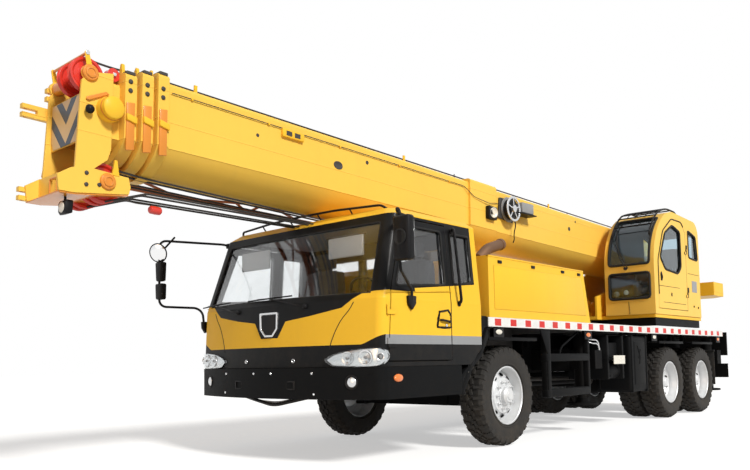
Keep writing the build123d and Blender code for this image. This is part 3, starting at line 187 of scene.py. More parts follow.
def above(tree, value, limit):
    return addMath(tree, "GREATER_THAN", value, limit)


def below(tree, value, limit):
    return addMath(tree, "LESS_THAN", value, limit)


def addRange(tree, value, low, high, toLow=0.0, toHigh=1.0):
    limits = {"From Min": low, "From Max": high, "To Min": toLow, "To Max": toHigh}
    return addNode(tree, "MapRange", {"Value": value, **limits}).outputs[0]


# 1 where the camera, a reflection or glass looks straight at the backdrop
def lookedAt(tree):
    rays = addNode(tree, "LightPath").outputs
    direct = addMath(tree, "MAXIMUM", rays["Is Camera Ray"], rays["Is Glossy Ray"])
    return addMath(tree, "MAXIMUM", direct, rays["Is Transmission Ray"])


world = bpy.data.worlds.new("sky")
bpy.context.scene.world = world
world.use_nodes = True
tree = world.node_tree
tree.nodes.clear()
level = addRange(tree, lookedAt(tree), 0.0, 1.0, studio["sky"], 1.0)
sky = addNode(tree, "Background", {"Color": studio["white"], "Strength": level})
addNode(tree, "OutputWorld", {"Surface": sky.outputs[0]})


def clearSelection():
    if bpy.context.mode != "OBJECT":
        bpy.ops.object.mode_set(mode="OBJECT")
    bpy.ops.object.select_all(action="DESELECT")


clearSelection()
bpy.ops.mesh.primitive_plane_add(size=studio["floorSize"], location=(0, 0, cadLow.z))
floor = bpy.context.object
floor.name = "floor"
floorPaint = bpy.data.materials.new("floorPaint")
floorPaint.use_nodes = True
tree = floorPaint.node_tree
tree.nodes.clear()
lift = times(tree, lookedAt(tree), studio["floorGlow"])
mattFloor = addNode(tree, "BsdfDiffuse", {"Color": studio["floorGrey"]})
glowFloor = addNode(tree, "Emission", {"Color": studio["white"], "Strength": lift})
both = addNode(tree, "AddShader", {0: mattFloor.outputs[0], 1: glowFloor.outputs[0]})
addNode(tree, "OutputMaterial", {"Surface": both.outputs[0]})
floor.data.materials.append(floorPaint)
print("studio ready")


# shader groups: each one puts out masks, colours, heights or normals only
socketKinds = {"Color": "NodeSocketColor", "Normal": "NodeSocketVector"}


def startGroup(name, ins, outs):
    group = bpy.data.node_groups.new(name, "ShaderNodeTree")
    for label, start in ins.items():
        kind = socketKinds.get(label, "NodeSocketFloat")
        group.interface.new_socket(name=label, in_out="INPUT", socket_type=kind).default_value = start
    for label in outs:
        kind = socketKinds.get(label, "NodeSocketFloat")
        group.interface.new_socket(name=label, in_out="OUTPUT", socket_type=kind)
    entry = group.nodes.new("NodeGroupInput").outputs
    leave = group.nodes.new("NodeGroupOutput")
    return group, entry, leave


def addNoise(tree, spot, scale, detail=3.0, roughness=0.55, stretch=None):
    if stretch:
        spot = addNode(tree, "Mapping", {"Scale": stretch, "Vector": spot}).outputs[0]
    grit = {"Scale": scale, "Detail": detail, "Roughness": roughness}
    return addNode(tree, "TexNoise", {"Vector": spot, **grit}).outputs[0]


def addMix(tree, factor, first, second):
    return addNode(tree, "Mix", {0: factor, 6: first, 7: second}, data_type="RGBA").outputs[2]


def addBump(tree, height, normal=None, distance=0.004, strength=1.0):
    inputs = {"Height": height, "Normal": normal, "Distance": distance, "Strength": strength}
    return addNode(tree, "Bump", inputs).outputs[0]


def objectSpot(tree):
    return addNode(tree, "TexCoord").outputs["Object"]


def splitSpot(tree, spot):
    return addNode(tree, "SeparateXYZ", {0: spot}).outputs


def addDot(tree, first, second):
    return addNode(tree, "VectorMath", {0: first, 1: second}, operation="DOT_PRODUCT").outputs["Value"]


# patchy fade of a colour: large soft patches and small mottling
fadeGroup, entry, leave = startGroup("colourFade", {"Color": (0.5, 0.5, 0.5, 1), "Amount": 0.1, "Scale": 1.0},
                                     ("Color",))
spot = objectSpot(fadeGroup)
broad = addNoise(fadeGroup, spot, entry["Scale"], 2.0)
fine = addNoise(fadeGroup, spot, times(fadeGroup, entry["Scale"], 19.0), 4.0)
blend = plus(fadeGroup, times(fadeGroup, broad, 0.7),
                times(fadeGroup, fine, 0.3))
centred = minus(fadeGroup, blend, 0.5)
swing = times(fadeGroup, centred, times(fadeGroup, entry["Amount"], 3.0))
tinted = addNode(fadeGroup, "HueSaturation", {"Color": entry["Color"], "Value": plus(fadeGroup, swing, 1.0)})
setInputs(fadeGroup, leave, {"Color": tinted.outputs[0]})

# dust and splashes that thicken towards the ground, with streaks below edges
dirtGroup, entry, leave = startGroup("roadDirt", {"Amount": 0.3, "Top": 1.2}, ("Mask",))
spot = objectSpot(dirtGroup)
height = parted(dirtGroup, splitSpot(dirtGroup, spot)["Z"], entry["Top"])
low = minus(dirtGroup, 1.0, height, clamp=True)
splash = addRange(dirtGroup, addNoise(dirtGroup, spot, 7.0, 6.0, 0.7), 0.42, 0.72)
streak = addRange(dirtGroup, addNoise(dirtGroup, spot, 6.0, 3.0, 0.5, (1.0, 1.0, 0.09)), 0.5, 0.8)
dusty = plus(dirtGroup, times(dirtGroup, splash, low),
                times(dirtGroup, streak, 0.28))
setInputs(dirtGroup, leave, {"Mask": times(dirtGroup, dusty, entry["Amount"], clamp=True)})

# softened edges, and where paint is rubbed thin along them
edgeGroup, entry, leave = startGroup("rubbedEdges", {"Radius": 0.006, "Amount": 0.4}, ("Mask", "Normal"))
soft = addNode(edgeGroup, "Bevel", {"Radius": entry["Radius"]}, samples=4).outputs[0]
facing = addDot(edgeGroup, soft, addNode(edgeGroup, "NewGeometry").outputs["Normal"])
edge = addRange(edgeGroup, facing, 0.985, 0.86)
patch = addRange(edgeGroup, addNoise(edgeGroup, objectSpot(edgeGroup), 21.0, 5.0, 0.7), 0.46, 0.64)
rubbed = times(edgeGroup, times(edgeGroup, edge, patch), entry["Amount"], clamp=True)
setInputs(edgeGroup, leave, {"Mask": rubbed, "Normal": soft})

# fine surface height: orange peel on paint, pebble on plastic, sand on castings
grainGroup, entry, leave = startGroup("surfaceGrain", {"Scale": 260.0, "Wave": 0.35}, ("Height", "Mask"))
spot = objectSpot(grainGroup)
pebble = addNoise(grainGroup, spot, entry["Scale"], 2.0, 0.5)
swell = addNoise(grainGroup, spot, 2.6, 2.0, 0.4)
waves = times(grainGroup, swell, times(grainGroup, entry["Wave"], 6.0))
setInputs(grainGroup, leave, {"Height": plus(grainGroup, pebble, waves),
                              "Mask": addNoise(grainGroup, spot, 38.0, 5.0, 0.65)})
print("shader groups built")


def useGroup(tree, group, **values):
    return addNode(tree, "Group", values, node_tree=group).outputs


# a whole finish: paint zones first, then fade, dirt, rubbed edges, grain
def makeFinish(name, color, zones=None, roughness=0.4, metallic=0.0, fade=0.08, fadeScale=1.1, dirt=0.3,
               dirtTop=1.2, dirtColor=(0.16, 0.125, 0.09), edge=0.35, edgeColor=(0.3, 0.27, 0.24),
               edgeRadius=0.006, grain=260.0, wave=0.3, bump=0.05, coat=0.0, specular=0.5, relief=None,
               reliefDepth=0.004):
    material = bpy.data.materials.new(name)
    material.use_nodes = True
    tree = material.node_tree
    spot = objectSpot(tree)
    base = zones(tree, spot, color) if zones else color
    faded = useGroup(tree, fadeGroup, Color=base, Amount=fade, Scale=fadeScale)["Color"]
    dirtMask = useGroup(tree, dirtGroup, Amount=dirt, Top=dirtTop)["Mask"]
    edges = useGroup(tree, edgeGroup, Radius=edgeRadius, Amount=edge)
    skin = useGroup(tree, grainGroup, Scale=grain, Wave=wave)
    worn = addMix(tree, edges["Mask"], addMix(tree, dirtMask, faded, dirtColor), edgeColor)
    rough = plus(tree, addRange(tree, skin["Mask"], 0.25, 0.75, -0.06, 0.06), roughness)
    rough = plus(tree, rough, times(tree, dirtMask, 0.4), clamp=True)
    normal = edges["Normal"]
    if relief:
        normal = addBump(tree, relief(tree, spot), normal, reliefDepth)
    inputs = {"Base Color": worn, "Roughness": rough, "Specular IOR Level": specular,
              "Normal": addBump(tree, skin["Height"], normal, 0.004, bump)}
    if metallic:
        inputs["Metallic"] = times(tree, minus(tree, 1.0, dirtMask), metallic)
    if coat:
        inputs["Coat Weight"] = times(tree, minus(tree, 1.0, dirtMask), coat)
        inputs["Coat Roughness"] = 0.06
    setInputs(tree, tree.nodes["Principled BSDF"], inputs)
    return material


# half spaces in object coordinates: 1 where the point lies past the plane
def beyond(tree, spot, direction, offset):
    return above(tree, addDot(tree, spot, direction), offset)


def allOf(tree, first, *masks):
    for mask in masks:
        first = times(tree, first, mask)
    return first


def anyOf(tree, first, *masks):
    for mask in masks:
        first = addMath(tree, "MAXIMUM", first, mask)
    return first


def between(tree, value, low, high):
    return allOf(tree, above(tree, value, low), below(tree, value, high))


def rampValue(tree, value, points):
    ramp = addNode(tree, "ValToRGB", {0: value})
    steps = ramp.color_ramp.elements
    while len(steps) < len(points):
        steps.new(0.5)
    for element, (place, level) in zip(steps, points):
        element.position = place
        element.color = (level, level, level, 1)
    return ramp.outputs[0]


paint = {
    "yellow": (0.9, 0.525, 0.038),
    # boomLitYellow: the body yellow made paler and bluer for the boom, a painted highlight for its brightly lit flank
    "boomLitYellow": (0.9, 0.555, 0.085),
    "cabYellow": (0.9, 0.565, 0.105),
    "black": (0.0062, 0.0066, 0.0072),
    "silver": (0.29, 0.3, 0.31),
    # insideShade: near-black painted shade for the faces inside the cab shells
    "insideShade": (0.055, 0.055, 0.06),
    "red": (0.62, 0.016, 0.012),
    "white": (0.8, 0.8, 0.78),
}

# the cab's paint scheme, in the vehicle's frame; the two lines run from its middle out to a side
cabScheme = {
    "skirtTop": 1.04, "stripeTop": 1.12, "half": 1.25, "frontStarts": 1.6, "sideStarts": 1.243,
    "yellowLow": ((0, 0.988), (0.9, 0.992), (1.08, 1.05), (1.25, 1.125)),
    "bandLow": ((0, 1.122), (0.118, 1.122), (0.215, 1.27), (0.51, 1.305), (0.85, 1.36), (0.97, 1.44),
                (1.05, 1.482), (1.25, 1.5)),
    "bandTop": 2.196, "tallest": 2.4,
    "beltFront": (1.95, 1.5), "beltRear": (0.7, 1.62), "windowTop": 2.185, "windowRear": 0.662, "windowSide": 1.1,
    "middle": (1.25, 0.0, 1.62),
}


# 1 where a face looks toward the given spot, so the inside of a shell is painted near-black: painted shade for the dim
# inside of the cab
def facesInward(tree, spot, middle):
    away = addNode(tree, "VectorMath", {0: spot, 1: at(*middle)}, operation="SUBTRACT")
    facing = addDot(tree, away.outputs[0], addNode(tree, "TexCoord").outputs["Normal"])
    return below(tree, facing, 0.0)


def cabZones(tree, spot, color):
    x, y, height = splitSpot(tree, spot)
    aside = addMath(tree, "ABSOLUTE", y)
    share = parted(tree, aside, cabScheme["half"])
    span = cabScheme["tallest"]

    def lineOf(name):
        points = [(a / cabScheme["half"], b / span) for a, b in cabScheme[name]]
        return times(tree, rampValue(tree, share, points), span)

    def under(top):
        return below(tree, height, top)

    frontSide = above(tree, x, along(cabScheme["frontStarts"]))
    outerSide = above(tree, aside, cabScheme["sideStarts"])
    underFront = allOf(tree, frontSide, under(lineOf("yellowLow")), minus(tree, 1.0, outerSide))
    band = allOf(tree, frontSide, above(tree, height, lineOf("bandLow")), under(cabScheme["bandTop"]))
    (x0, z0), (x1, z1) = cabScheme["beltFront"], cabScheme["beltRear"]
    slope = (z1 - z0) / (x1 - x0)
    glazing = allOf(tree, beyond(tree, spot, (-slope, 0, 1), z0 - slope * along(x0)),
                    above(tree, aside, cabScheme["windowSide"]), under(cabScheme["windowTop"]),
                    above(tree, x, along(cabScheme["windowRear"])))
    stripe = allOf(tree, between(tree, height, cabScheme["skirtTop"], cabScheme["stripeTop"]), outerSide)
    dark = anyOf(tree, underFront, band, glazing, under(cabScheme["skirtTop"]))
    base = addMix(tree, stripe, addMix(tree, dark, color, paint["black"]), paint["silver"])
    # faces inside the front cab take the painted shade
    return addMix(tree, facesInward(tree, spot, cabScheme["middle"]), base, paint["insideShade"])


def operatorZones(tree, spot, color):
    # faces inside the operator's cab take the painted shade
    return addMix(tree, facesInward(tree, spot, (-4.75, 0.878, 2.25)), color, paint["insideShade"])


# red and white marks along the deck's edge; "count" moves the first one behind the rear end
deckMarks = {"pitch": 0.297, "length": 0.118, "first": -0.08, "count": 20, "low": 1.222, "from": 0.012, "to": 0.082,
             "side": 1.244}


def deckZones(tree, spot, color):
    x, y, height = splitSpot(tree, spot)
    edgeFace = allOf(tree, above(tree, addMath(tree, "ABSOLUTE", y), deckMarks["side"]),
                     above(tree, height, deckMarks["low"]))
    start = along(deckMarks["first"] - deckMarks["count"] * deckMarks["pitch"])
    travel = parted(tree, minus(tree, x, start), deckMarks["pitch"])
    red = below(tree, addMath(tree, "FRACT", travel), deckMarks["length"] / deckMarks["pitch"])
    tall = between(tree, height, deckMarks["low"] + deckMarks["from"], deckMarks["low"] + deckMarks["to"])
    mark = addMix(tree, allOf(tree, red, tall), paint["white"], paint["red"])
    return addMix(tree, edgeFace, color, mark)


def treadPlate(tree, spot):
    cells = addNode(tree, "TexVoronoi", {"Vector": spot, "Scale": 28.0}, feature="F1")
    return addRange(tree, cells.outputs["Distance"], 0.12, 0.3, 1.0, 0.0)


boomWeld = {"lines": (-0.04, 0.17, 0.4), "wide": 0.006}


def boomRelief(tree, spot):
    height = addDot(tree, spot, boomUp)
    beads = []
    for h in boomWeld["lines"]:
        gap = addMath(tree, "ABSOLUTE", minus(tree, height, boomFoot.dot(boomUp) + h))
        beads.append(addRange(tree, gap, boomWeld["wide"], 0.0))
    return anyOf(tree, *beads)


# how the yellow paints wear
yellowWear = {"edgeColor": (0.42, 0.25, 0.06), "roughness": 0.42}
yellowDust = {"dirtColor": (0.33, 0.22, 0.09), "dirtTop": 1.6, "dirt": 0.16, "fade": 0.045, "bump": 0.035}
yellowPaint = makeFinish("yellowPaint", paint["yellow"], coat=0.05, specular=0.14, edge=0.22, **yellowWear,
                         **yellowDust)
operatorPaint = makeFinish("operatorPaint", paint["cabYellow"], zones=operatorZones, coat=0.05, specular=0.14, edge=0.2,
                           **yellowWear, **yellowDust)
cabPaint = makeFinish("cabPaint", paint["yellow"], zones=cabZones, roughness=0.45, coat=0.03, specular=0.1,
                      fade=0.04, dirt=0.16, edge=0.12, edgeColor=(0.36, 0.24, 0.08), dirtTop=1.3, bump=0.03)
# the boom takes the paler copy of the yellow: painted highlight
boomPaint = makeFinish("boomPaint", paint["boomLitYellow"], coat=0.06, specular=0.16, fade=0.05, fadeScale=0.7,
                       dirt=0.14, dirtTop=1.0, edge=0.25, bump=0.04, relief=boomRelief, reliefDepth=0.003,
                       **yellowWear)
blackPaint = makeFinish("blackPaint", paint["black"], roughness=0.5, fade=0.22, dirt=0.3, dirtTop=1.15, edge=0.35,
                        edgeColor=(0.05, 0.048, 0.045), dirtColor=(0.02, 0.017, 0.014), bump=0.06, specular=0.05)
frameBlackAndShade = makeFinish("frameBlackAndShade", (0.0055, 0.0056, 0.006), roughness=0.6, fade=0.3, dirt=0.45, dirtTop=1.3,
                        edge=0.3, edgeColor=(0.04, 0.038, 0.036), dirtColor=(0.018, 0.015, 0.012), bump=0.12,
                        specular=0.05)
plasticBlack = makeFinish("plasticBlack", (0.008, 0.008, 0.009), roughness=0.42, fade=0.14, dirt=0.3, dirtTop=1.1,
                          edge=0.2, edgeColor=(0.06, 0.06, 0.06), grain=420.0, bump=0.14, specular=0.12)
rubberBlackAndShade = makeFinish("rubberBlackAndShade", (0.009, 0.009, 0.009), roughness=0.72, fade=0.2, dirt=0.35, edge=0.15,
                         edgeColor=(0.05, 0.05, 0.05), grain=300.0, bump=0.12, specular=0.3)
deckPaint = makeFinish("deckPaint", (0.075, 0.075, 0.075), zones=deckZones, roughness=0.5, fade=0.12, dirt=0.35,
                       dirtTop=2.2, edge=0.3, edgeColor=(0.22, 0.21, 0.2), relief=treadPlate, reliefDepth=0.003)
redPaint = makeFinish("redPaint", (0.66, 0.028, 0.014), roughness=0.36, coat=0.4, fade=0.08, dirt=0.25, dirtTop=2.0,
                      edge=0.3, edgeColor=(0.32, 0.1, 0.07), bump=0.05)
latticePaint = makeFinish("latticePaint", (0.4, 0.115, 0.03), roughness=0.5, fade=0.16, dirt=0.4, dirtTop=2.4,
                          edge=0.45, edgeColor=(0.16, 0.09, 0.06), bump=0.1)
greyPaint = makeFinish("greyPaint", (0.25, 0.255, 0.26), roughness=0.42, coat=0.3, fade=0.08, dirt=0.25, dirtTop=2.0,
                       bump=0.05)
castIronAndShade = makeFinish("castIronAndShade", (0.045, 0.043, 0.042), roughness=0.6, metallic=0.35, fade=0.25, dirt=0.6, dirtTop=1.4,
                      edge=0.4, edgeColor=(0.14, 0.13, 0.12), grain=150.0, bump=0.3)
brightSteel = makeFinish("brightSteel", (0.66, 0.67, 0.68), roughness=0.22, metallic=0.95, fade=0.06, dirt=0.12,
                         edge=0.15, bump=0.03)
rimSilver = makeFinish("rimSilver", (0.7, 0.715, 0.73), roughness=0.38, metallic=0.3, fade=0.08, dirt=0.3, dirtTop=1.25,
                       dirtColor=(0.22, 0.19, 0.15), edge=0.3, edgeColor=(0.25, 0.25, 0.25), bump=0.06)
tyreRubber = makeFinish("tyreRubber", (0.022, 0.0205, 0.019), roughness=0.78, fade=0.22, fadeScale=3.0, dirt=0.55,
                        dirtTop=1.0, dirtColor=(0.095, 0.078, 0.06), edge=0.5, edgeColor=(0.07, 0.062, 0.052),
                        grain=180.0, bump=0.25, specular=0.3)
print("materials mixed")


def makeGlass(name, color, roughness=0.03):
    material = bpy.data.materials.new(name)
    material.use_nodes = True
    tree = material.node_tree
    spot = objectSpot(tree)
    film = addRange(tree, addNoise(tree, spot, 3.5, 5.0, 0.6), 0.35, 0.75)
    setInputs(tree, tree.nodes["Principled BSDF"], {
        "Base Color": addMix(tree, film, color, tuple(c * 0.93 for c in color)),
        "Roughness": plus(tree, times(tree, film, 0.03), roughness),
        "Normal": addBump(tree, addNoise(tree, spot, 9.0, 2.0), None, 0.002, 0.02),
        "Transmission Weight": 1.0, "IOR": 1.45,
    })
    return material


clearGlass = makeGlass("clearGlass", (0.96, 0.98, 0.985))
tintedGlass = makeGlass("tintedGlass", (0.62, 0.76, 0.83))

ends = ("front_left", "front_right", "rear_left", "rear_right")
finishes = {
    yellowPaint: ("engine_cover", "counterweight", "turntable", "luff_barrel"),
    operatorPaint: ("operator_cab", "operator_door"),
    cabPaint: ("cab_shell", "cab_door_left", "cab_door_right"),
    boomPaint: ("boom_base", "boom_section_2", "boom_section_3", "boom_section_4", "jib_forks"),
    blackPaint: ("front_bumper", "side_guards", "side_boxes", "boom_rest"),
    frameBlackAndShade: ("chassis_frame", "outrigger_channels", "front_axle", "rear_axles", "steering_knuckle_left",
                 "steering_knuckle_right", *(f"outrigger_{part}_{end}" for part in ("beam", "jack") for end in ends)),
    plasticBlack: ("cab_mirrors", "cab_interior", "operator_seat"),
    castIronAndShade: ("engine_block", "winch_drum_main", "winch_drum_auxiliary", "hook_block"),
    deckPaint: ("deck",),
    redPaint: ("head_sheaves",),
    latticePaint: ("jib_lattice",),
    brightSteel: ("luff_rod",),
    rimSilver: tuple(n for n in nodes if n.startswith("rim")),
    tyreRubber: tuple(n for n in nodes if n.startswith("tyre")),
    clearGlass: ("cab_windows", "cab_door_window_left", "cab_door_window_right"),
    tintedGlass: ("operator_cab_windows", "operator_door_window"),
}
for material, names in finishes.items():
    for nodeName in names:
        for holder in nodes[nodeName].material_slots:
            holder.material = material
print("carried-over nodes left:", sorted(set(nodes) - set(sum(finishes.values(), ()))))


# modelling helpers
toolSettings = bpy.context.tool_settings


def selectMode(kind):
    toolSettings.mesh_select_mode = (kind == "VERT", kind == "EDGE", kind == "FACE")


def takeUp(piece):
    clearSelection()
    piece.select_set(True)
    bpy.context.view_layer.objects.active = piece


def beginEdit(piece, kind="FACE", action="SELECT"):
    takeUp(piece)
    selectMode(kind)
    bpy.ops.object.mode_set(mode="EDIT")
    bpy.ops.mesh.select_all(action=action)


def endEdit():
    bpy.ops.object.mode_set(mode="OBJECT")


def pickFaces(piece, test):
    beginEdit(piece, "FACE", "DESELECT")
    endEdit()
    for face in piece.data.polygons:
        face.select = test(face.center, face.normal)
    bpy.ops.object.mode_set(mode="EDIT")


def soften(piece, width, segments=2):
    beginEdit(piece, "EDGE")
    bpy.ops.mesh.bevel(offset=width, segments=segments, affect="EDGES")
    endEdit()


# a squared block between two corners, its edges broken
def addBlock(name, low, high, edge=0.004, segments=2):
    clearSelection()
    low, high = Vector(low), Vector(high)
    bpy.ops.mesh.primitive_cube_add(size=1, location=(low + high) / 2)
    piece = bpy.context.object
    piece.name = name
    piece.scale = [abs(b - a) for a, b in zip(low, high)]
    bpy.ops.object.transform_apply(location=True, rotation=True, scale=True)
    if edge:
        soften(piece, edge, segments)
    return piece


def oblong(a0, a1, b0, b1):
    return [(a0, b0), (a1, b0), (a1, b1), (a0, b1)]


# profile of a round button: a straight wall, then a chamfer up to its flat top
def button(radius, wall, topRadius, top, foot=0):
    return [(0, foot), (radius, foot), (radius, wall), (topRadius, top), (0, top)]


# a flat plate: its outline is laid out in the plane that place() gives, then pulled to its thickness
def addPlate(name, outline, near, far, place, edge=0.0, segments=1):
    clearSelection()
    bpy.ops.mesh.primitive_circle_add(vertices=len(outline), fill_type="NGON")
    piece = bpy.context.object
    piece.name = name
    for corner, (a, b) in zip(piece.data.vertices, outline):
        corner.co = place(a, b, near)
    a, b = outline[0]
    beginEdit(piece)
    bpy.ops.mesh.extrude_region_move(TRANSFORM_OT_translate={"value": place(a, b, far) - place(a, b, near)})
    bpy.ops.mesh.select_all(action="SELECT")
    bpy.ops.mesh.normals_make_consistent(inside=False)
    endEdit()
    if edge:
        soften(piece, edge, segments)
    return piece


def onSide(x, z, y):
    return at(x, y, z)


def onFront(y, z, x):
    return at(x, y, z)


def onPlan(x, y, z):
    return at(x, y, z)


# a turned part: a closed profile of (radius, offset) spun about an axis
def addTurned(name, profile, centre, axis, steps=32):
    clearSelection()
    axis = Vector(axis).normalized()
    aside = axis.orthogonal().normalized()
    centre = Vector(centre)
    bpy.ops.mesh.primitive_circle_add(vertices=len(profile), fill_type="NOTHING")
    piece = bpy.context.object
    piece.name = name
    for corner, (radius, offset) in zip(piece.data.vertices, profile):
        corner.co = centre + aside * radius + axis * offset
    beginEdit(piece, "VERT")
    bpy.ops.mesh.spin(steps=steps, angle=math.tau, center=centre, axis=axis)
    bpy.ops.mesh.select_all(action="SELECT")
    bpy.ops.mesh.remove_doubles(threshold=0.00005)
    bpy.ops.mesh.delete_loose()
    bpy.ops.mesh.select_all(action="SELECT")
    bpy.ops.mesh.normals_make_consistent(inside=False)
    endEdit()
    return piece


# a bent bar: straight runs with rounded bends, ends closed
def addBar(name, points, radius, bend=0.04, rings=3, closed=False):
    clearSelection()
    bpy.ops.curve.primitive_bezier_curve_add()
    piece = bpy.context.object
    piece.name = name
    curve = piece.data
    curve.dimensions = "3D"
    curve.splines.clear()
    points = [Vector(p) for p in points]
    knots = []
    count = len(points)
    for number, point in enumerate(points):
        isEnd = not closed and number in (0, count - 1)
        if isEnd:
            step = (points[1] - point) if number == 0 else (point - points[-2])
            knots.append((point, point - step * 0.05, point + step * 0.05))
            continue
        before, after = points[number - 1], points[(number + 1) % count]
        reach = min(bend, (point - before).length * 0.45, (after - point).length * 0.45)
        backward, forward = (before - point).normalized(), (after - point).normalized()
        first, last = point + backward * reach, point + forward * reach
        knots.append((first, first + backward * reach * 0.3, first - backward * reach * 0.55))
        knots.append((last, last - forward * reach * 0.55, last + forward * reach * 0.3))
    spline = curve.splines.new("BEZIER")
    spline.bezier_points.add(len(knots) - 1)
    for knot, (middle, left, right) in zip(spline.bezier_points, knots):
        knot.handle_left_type = knot.handle_right_type = "FREE"
        knot.co, knot.handle_left, knot.handle_right = middle, left, right
    spline.use_cyclic_u = closed
    spline.resolution_u = 5
    curve.bevel_depth = radius
    curve.bevel_resolution = rings
    curve.use_fill_caps = not closed
    bpy.ops.object.convert(target="MESH")
    return bpy.context.object


# a curved skin: a grid whose columns run along u and rows along v, given its thickness
def addSkin(name, columns, rows, spot, thickness=0.0, smooth=0):
    clearSelection()
    bpy.ops.mesh.primitive_grid_add(x_subdivisions=columns, y_subdivisions=rows, size=2)
    piece = bpy.context.object
    piece.name = name
    for corner in piece.data.vertices:
        corner.co = spot((corner.co.x + 1) / 2, (corner.co.y + 1) / 2)
    if smooth:
        addModifier(piece, "SUBSURF", levels=smooth, render_levels=smooth)
    if thickness:
        addModifier(piece, "SOLIDIFY", thickness=thickness, offset=-1.0)
    return piece


def addModifier(piece, kind, **values):
    takeUp(piece)
    modifier = piece.modifiers.new(kind.lower(), kind)
    for label, value in values.items():
        setattr(modifier, label, value)
    bpy.ops.object.modifier_apply(modifier=modifier.name)


def copyTo(piece, *moves):
    made = []
    for move in moves:
        twin = piece.copy()
        twin.data = piece.data.copy()
        twin.data.transform(move)
        if move.determinant() < 0:
            twin.data.flip_normals()
        bpy.context.scene.collection.objects.link(twin)
        made.append(twin)
    return made


def turnAbout(centre, axis, angle):
    centre = Vector(centre)
    return Matrix.Translation(centre) @ Matrix.Rotation(angle, 4, Vector(axis)) @ Matrix.Translation(-centre)


def joinPieces(name, parts):
    clearSelection()
    for part in parts:
        part.select_set(True)
    bpy.context.view_layer.objects.active = parts[0]
    if len(parts) > 1:
        bpy.ops.object.join()
    whole = bpy.context.object
    whole.name = name
    return whole


def coat(piece, material):
    piece.data.materials.clear()
    piece.data.materials.append(material)
    return piece


def finishPiece(piece, material, body="carrier", angle=40):
    if material and not piece.data.materials:
        piece.data.materials.append(material)
    takeUp(piece)
    bpy.ops.object.transform_apply(location=True, rotation=True, scale=True)
    bpy.ops.object.shade_smooth_by_angle(angle=math.radians(angle))
    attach(piece, body)
    return piece


# wheels
tyre = {"radius": axleZ, "half": 0.1465, "bead": 0.292, "lugs": 30, "lugHeight": 0.017, "shoulder": 0.93}
wheelPlaces = {}
for side, sign in (("left", 1), ("right", -1)):
    low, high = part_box(f"tyre_front_{side}")
    wheelPlaces[f"tyre_front_{side}"] = (Vector(((low.x + high.x) / 2, (low.y + high.y) / 2, axleZ)), sign,
            f"wheel_front_{side}")
    for pair in (1, 2):
        low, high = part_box(f"tyres_rear_{pair}_{side}")
        middle = Vector(((low.x + high.x) / 2, (low.y + high.y) / 2, axleZ))
        wheelPlaces[f"tyres_rear_{pair}_{side}"] = (middle, sign, f"wheels_rear_{pair}_{side}")


def buildTyre():
    radius, half, lug = tyre["radius"], tyre["half"], tyre["lugHeight"]
    inner = radius - lug
    profile = [(tyre["bead"], half * 0.8), (tyre["bead"] + 0.02, half * 0.86), (0.345, half * 0.955),
               (0.4, half * 0.995), (0.455, half * 0.965), (0.487, half * 0.9), (inner, half * 0.7),
               (inner + 0.001, half * 0.3), (inner, 0.0)]
    profile = profile + [(r, -o) for r, o in reversed(profile[:-1])]
    carcass = addTurned("carcass", profile, (0, 0, 0), (0, 1, 0), 48)
    pitch = math.tau / tyre["lugs"]
    parts = [carcass]
    shapes = []
    for row, sign in ((0, 1), (1, -1)):
        # shoulder lug: reaches from a quarter of the tread over the edge and down the side wall
        outline = [(0.03, half * 0.34), (0.024, half * 0.62), (0.026, half * 1.0), (-0.022, half * 1.0),
                   (-0.018, half * 0.62), (-0.012, half * 0.3)]
        lugPiece = addPlate("shoulderLug", [(a + 0.012 * row, sign * b) for a, b in outline], inner - 0.012,
                            radius - 0.0022, lambda a, b, c: Vector((a, b, c)))
        for corner in lugPiece.data.vertices:
            if abs(corner.co.y) > half * 0.9:
                corner.co.z -= 0.034 if corner.co.z > inner else 0.052
                corner.co.y *= 0.975
            elif corner.co.z > inner:
                corner.co.x *= 0.86
        shapes.append(lugPiece)
        rib = addPlate("middleLug", [(0.012, sign * half * 0.03), (0.036, sign * half * 0.1),
                (0.03, sign * half * 0.27), (0.0, sign * half * 0.24), (-0.026, sign * half * 0.2),
                (-0.024, sign * half * 0.04)], inner - 0.004, radius - 0.002, lambda a, b, c: Vector((a, b, c)))
        shapes.append(rib)
    for number in range(tyre["lugs"]):
        for place, shape in enumerate(shapes):
            offset = 0.5 if place in (1, 2) else 0.0
            parts += copyTo(shape, Matrix.Rotation(pitch * (number + offset), 4, "Y"))
    for shape in shapes:
        bpy.data.objects.remove(shape)
    # side wall: a raised rim guard
    for sign in (1, -1):
        parts.append(addTurned("rimGuard", [(0.316, sign * half * 0.9), (0.322, sign * half * 0.955),
                (0.33, sign * half * 0.965), (0.336, sign * half * 0.93), (0.33, sign * half * 0.88)], (0, 0, 0),
                               (0, 1, 0), 48))
    return joinPieces("tyreModel", parts)


rim = {"outer": 0.3, "half": 0.118, "nuts": 10, "nutCircle": 0.142, "nut": 0.0165, "hub": 0.088, "holes": 10,
       "holeCircle": 0.208}


